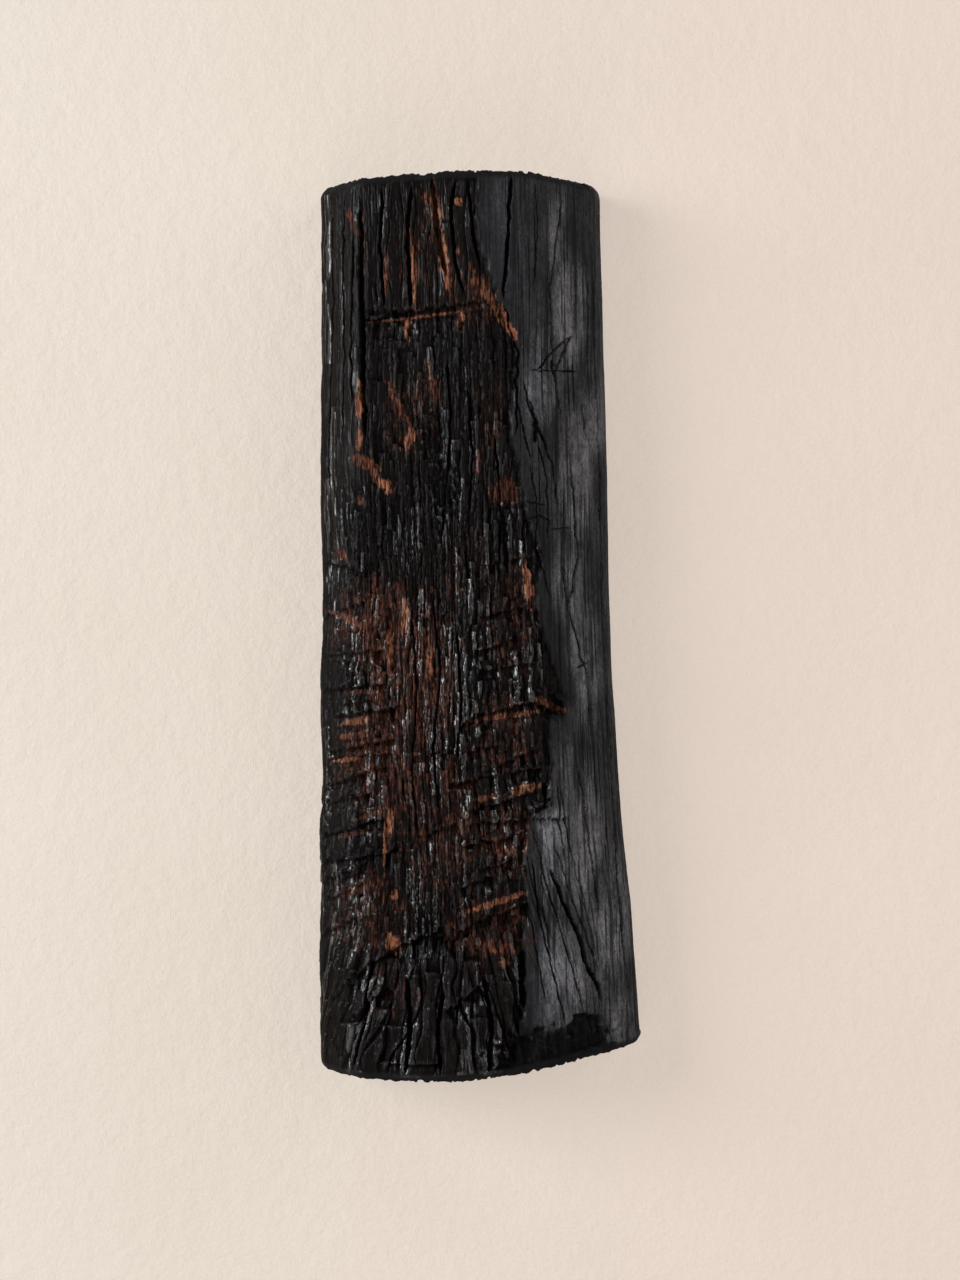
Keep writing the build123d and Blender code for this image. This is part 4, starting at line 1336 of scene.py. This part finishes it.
def wood_material(grain_group):
    """Old sawn softwood, grey-brown, scorched black where the fire crept round its edges, with painted shade
    where it lies deep.
    """
    material, nodes, shader = new_material("sawn_wood")
    grain = use_group(nodes, grain_group, Fineness=0.5)
    wide = nodes.noise(nodes.stretched(60, 60, 5), 1.0, 4.0, 0.6)
    wood = nodes.mix(nodes.ramp(grain.outputs["Streak"], 0.3, 0.7), SAWN_DARK, SAWN_LIGHT)
    wood = nodes.mix(nodes.ramp(wide, 0.35, 0.7), wood, SAWN_GREY)
    # Painted shade where the wood lies deep
    wood = nodes.mix(nodes.times(nodes.mask("hollow"), 0.85), wood, BROWN_CRACK_SHADE)
    scorch = nodes.mask("scorch")
    toasted = nodes.mix(nodes.ramp(scorch, 0.02, 0.45), wood, TOASTED)
    nodes.put(nodes.mix(nodes.ramp(scorch, 0.4, 0.85), toasted, CRUST_BLACK), shader.inputs["Base Color"])
    nodes.put(nodes.ramp(grain.outputs["Streak"], 0.2, 0.8, 0.72, 0.88), shader.inputs["Roughness"])
    nodes.bump(shader, grain.outputs["Height"], 0.5, 0.0005)
    return material


def metal_material(name, dark, light, roughness, streak):
    """Plated metal with rolling or drawing streaks and a little wear."""
    material, nodes, shader = new_material(name)
    streaks = nodes.noise(nodes.stretched(*streak), 1.0, 4.0, 0.6)
    clouds = nodes.noise(nodes.stretched(160, 160, 160), 1.0, 3.0, 0.55)
    nodes.put(nodes.mix(nodes.ramp(clouds, 0.3, 0.7), dark, light), shader.inputs["Base Color"])
    shader.inputs["Metallic"].default_value = 1.0
    drawn = nodes.ramp(streaks, 0.3, 0.7, roughness - 0.06, roughness + 0.08)
    nodes.put(nodes.math("ADD", drawn, nodes.times(clouds, 0.08)), shader.inputs["Roughness"])
    nodes.bump(shader, streaks, 0.25, 0.0002)
    return material


def felt_material():
    """Dark grey felt: tangled fibres with a faint sheen."""
    material, nodes, shader = new_material("felt")
    fibres_long = nodes.noise(nodes.stretched(900, 900, 2600), 1.0, 5.0, 0.7)
    fibres_cross = nodes.noise(nodes.stretched(2600, 900, 900), 1.0, 5.0, 0.7)
    tangle = nodes.times(nodes.math("ADD", fibres_long, fibres_cross), 0.5)
    nodes.put(nodes.mix(nodes.ramp(tangle, 0.38, 0.62), FELT_DARK, FELT_LIGHT), shader.inputs["Base Color"])
    nodes.put(nodes.ramp(tangle, 0.3, 0.7, 0.9, 1.0), shader.inputs["Roughness"])
    shader.inputs["Sheen Weight"].default_value = 0.4
    nodes.bump(shader, tangle, 0.8, 0.0006)
    return material


def give(piece, material):
    """Puts one material over a whole piece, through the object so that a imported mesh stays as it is."""
    if not piece.data.materials:
        piece.data.materials.append(None)
    for slot in piece.material_slots:
        slot.link = "OBJECT"
        slot.material = material


# ---------------------------------------------------------------- the wall, the light and the eye


def wall_material():
    """Limewashed plaster, shown from the room's side only: the wall is left out of views from behind."""
    material, nodes, shader = new_material("plaster")
    place = nodes.add("ShaderNodeTexCoord").outputs["Object"]
    clouds = nodes.noise(nodes.scaled(place, (3.5, 3.5, 3.5)), 1.0, 5.0, 0.6)
    across = nodes.add("ShaderNodeSeparateXYZ")
    nodes.put(place, across.inputs[0])
    side = nodes.ramp(across.outputs["X"], -0.35, 0.35)
    tint = nodes.mix(side, WALL_LEFT, WALL_RIGHT)
    plaster = nodes.mix(nodes.ramp(clouds, 0.3, 0.7, 0.0, 0.35), tint, WALL_SHADE)
    nodes.put(plaster, shader.inputs["Base Color"])
    shader.inputs["Roughness"].default_value = 0.95
    shader.inputs["Specular IOR Level"].default_value = 0.1
    trowel = nodes.noise(nodes.scaled(place, (70, 70, 70)), 1.0, 7.0, 0.7)
    nodes.bump(shader, trowel, 0.9, 0.004)
    behind = nodes.add("ShaderNodeNewGeometry").outputs["Backfacing"]
    path = nodes.add("ShaderNodeLightPath")
    unseen = nodes.math("MAXIMUM", behind, path.outputs["Is Shadow Ray"])
    glow = nodes.add("ShaderNodeEmission", Strength=GLOW)
    nodes.put(plaster, glow.inputs["Color"])
    glow_share = nodes.times(path.outputs["Is Camera Ray"], GLOW_SHARE)
    softened = nodes.add("ShaderNodeMixShader")
    nodes.put(glow_share, softened.inputs[0])
    nodes.put(shader.outputs[0], softened.inputs[1])
    nodes.put(glow.outputs[0], softened.inputs[2])
    clear = nodes.add("ShaderNodeBsdfTransparent")
    choose = nodes.add("ShaderNodeMixShader")
    nodes.put(unseen, choose.inputs[0])
    nodes.put(softened.outputs[0], choose.inputs[1])
    nodes.put(clear.outputs[0], choose.inputs[2])
    output = next(node for node in material.node_tree.nodes if node.type == "OUTPUT_MATERIAL")
    nodes.put(choose.outputs[0], output.inputs["Surface"])
    return material


def hang_wall():
    """The wall behind the timber, in the plane its pads rest against."""
    mesh = bpy.data.meshes.new("wall")
    low, high = -WALL_HALF, WALL_HALF
    mesh.from_pydata([(low, 0, low), (high, 0, low), (high, 0, high), (low, 0, high)], [], [(0, 1, 2, 3)])
    wall = link(bpy.data.objects.new("wall", mesh))
    give(wall, wall_material())


def place_lamp(name, place, size, power, colour):
    """A round lamp that faces the timber."""
    lamp = bpy.data.lights.new(name, "AREA")
    lamp.shape = "DISK"
    lamp.size = size
    lamp.energy = power
    lamp.color = colour
    holder = link(bpy.data.objects.new(name, lamp))
    holder.location = place
    holder.rotation_euler = (Vector(LAMP_TARGET) - Vector(place)).to_track_quat("-Z", "Y").to_euler()


def light_room():
    """Daylight from windows, light off the floor, and the air of the room."""
    for name, place, size, power, colour in LAMPS:
        place_lamp(name, place, size, power, colour)
    world = bpy.data.worlds.new("room")
    world.use_nodes = True
    bpy.context.scene.world = world
    nodes = Nodes(world.node_tree)
    background = world.node_tree.nodes["Background"]
    background.inputs["Color"].default_value = AIR
    background.inputs["Strength"].default_value = AIR_STRENGTH
    seen = nodes.add("ShaderNodeBackground", Color=BEYOND, Strength=1.0)
    camera_ray = nodes.add("ShaderNodeLightPath").outputs["Is Camera Ray"]
    choose = nodes.add("ShaderNodeMixShader")
    nodes.put(camera_ray, choose.inputs[0])
    nodes.put(background.outputs[0], choose.inputs[1])
    nodes.put(seen.outputs[0], choose.inputs[2])
    output = next(node for node in world.node_tree.nodes if node.type == "OUTPUT_WORLD")
    nodes.put(choose.outputs[0], output.inputs["Surface"])


def set_eye():
    """The camera, level and straight in front."""
    eye = bpy.data.cameras.new("eye")
    eye.lens = LENS
    eye.sensor_width = SENSOR_WIDTH
    holder = link(bpy.data.objects.new("eye", eye))
    holder.location = (EYE_X * MM, -EYE_DISTANCE * MM, EYE_Z * MM)
    holder.rotation_euler = (math.pi / 2, 0, 0)
    bpy.context.scene.camera = holder


# ---------------------------------------------------------------- the scene


def settle(piece, slot, material, *nodes):
    """Gives a piece its material and its body, and hides the nodes it stands in for. Its slot is not used.
    """
    give(piece, material)
    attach(piece, "root")
    if nodes:
        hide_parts(*nodes)


def main():
    """Builds the timber, its fittings, the wall and the light."""
    bpy.context.scene.view_settings.view_transform = "Standard"
    grain_group, speckle_group = wood_grain_group(), char_speckle_group()
    skin = Skin()
    settle(burnt_skin(skin), "char", char_material(grain_group, speckle_group), "char_crust")
    wood = inner_wood(skin)
    paint_wood(wood)
    settle(wood, "bare_wood", wood_material(grain_group), "timber_core")
    felt = felt_material()
    for node in sorted(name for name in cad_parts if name.startswith("felt_pad")):
        pad = felt_pad(node.replace("felt_pad", "wall_pad"), node)
        settle(pad, "felt", felt, node)
    zinc = metal_material("zinc_plate", ZINC_DARK, ZINC_LIGHT, 0.42, (60, 60, 900))
    passivated = metal_material("yellow_zinc", YELLOW_DARK, YELLOW_LIGHT, 0.34, (900, 60, 900))
    for name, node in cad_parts.items():
        if name.startswith("keyhole_plate"):
            settle(node, "plate_steel", zinc)
        if name.startswith("plate_screw"):
            settle(node, "screw_steel", passivated)
    hang_wall()
    light_room()
    set_eye()


main()
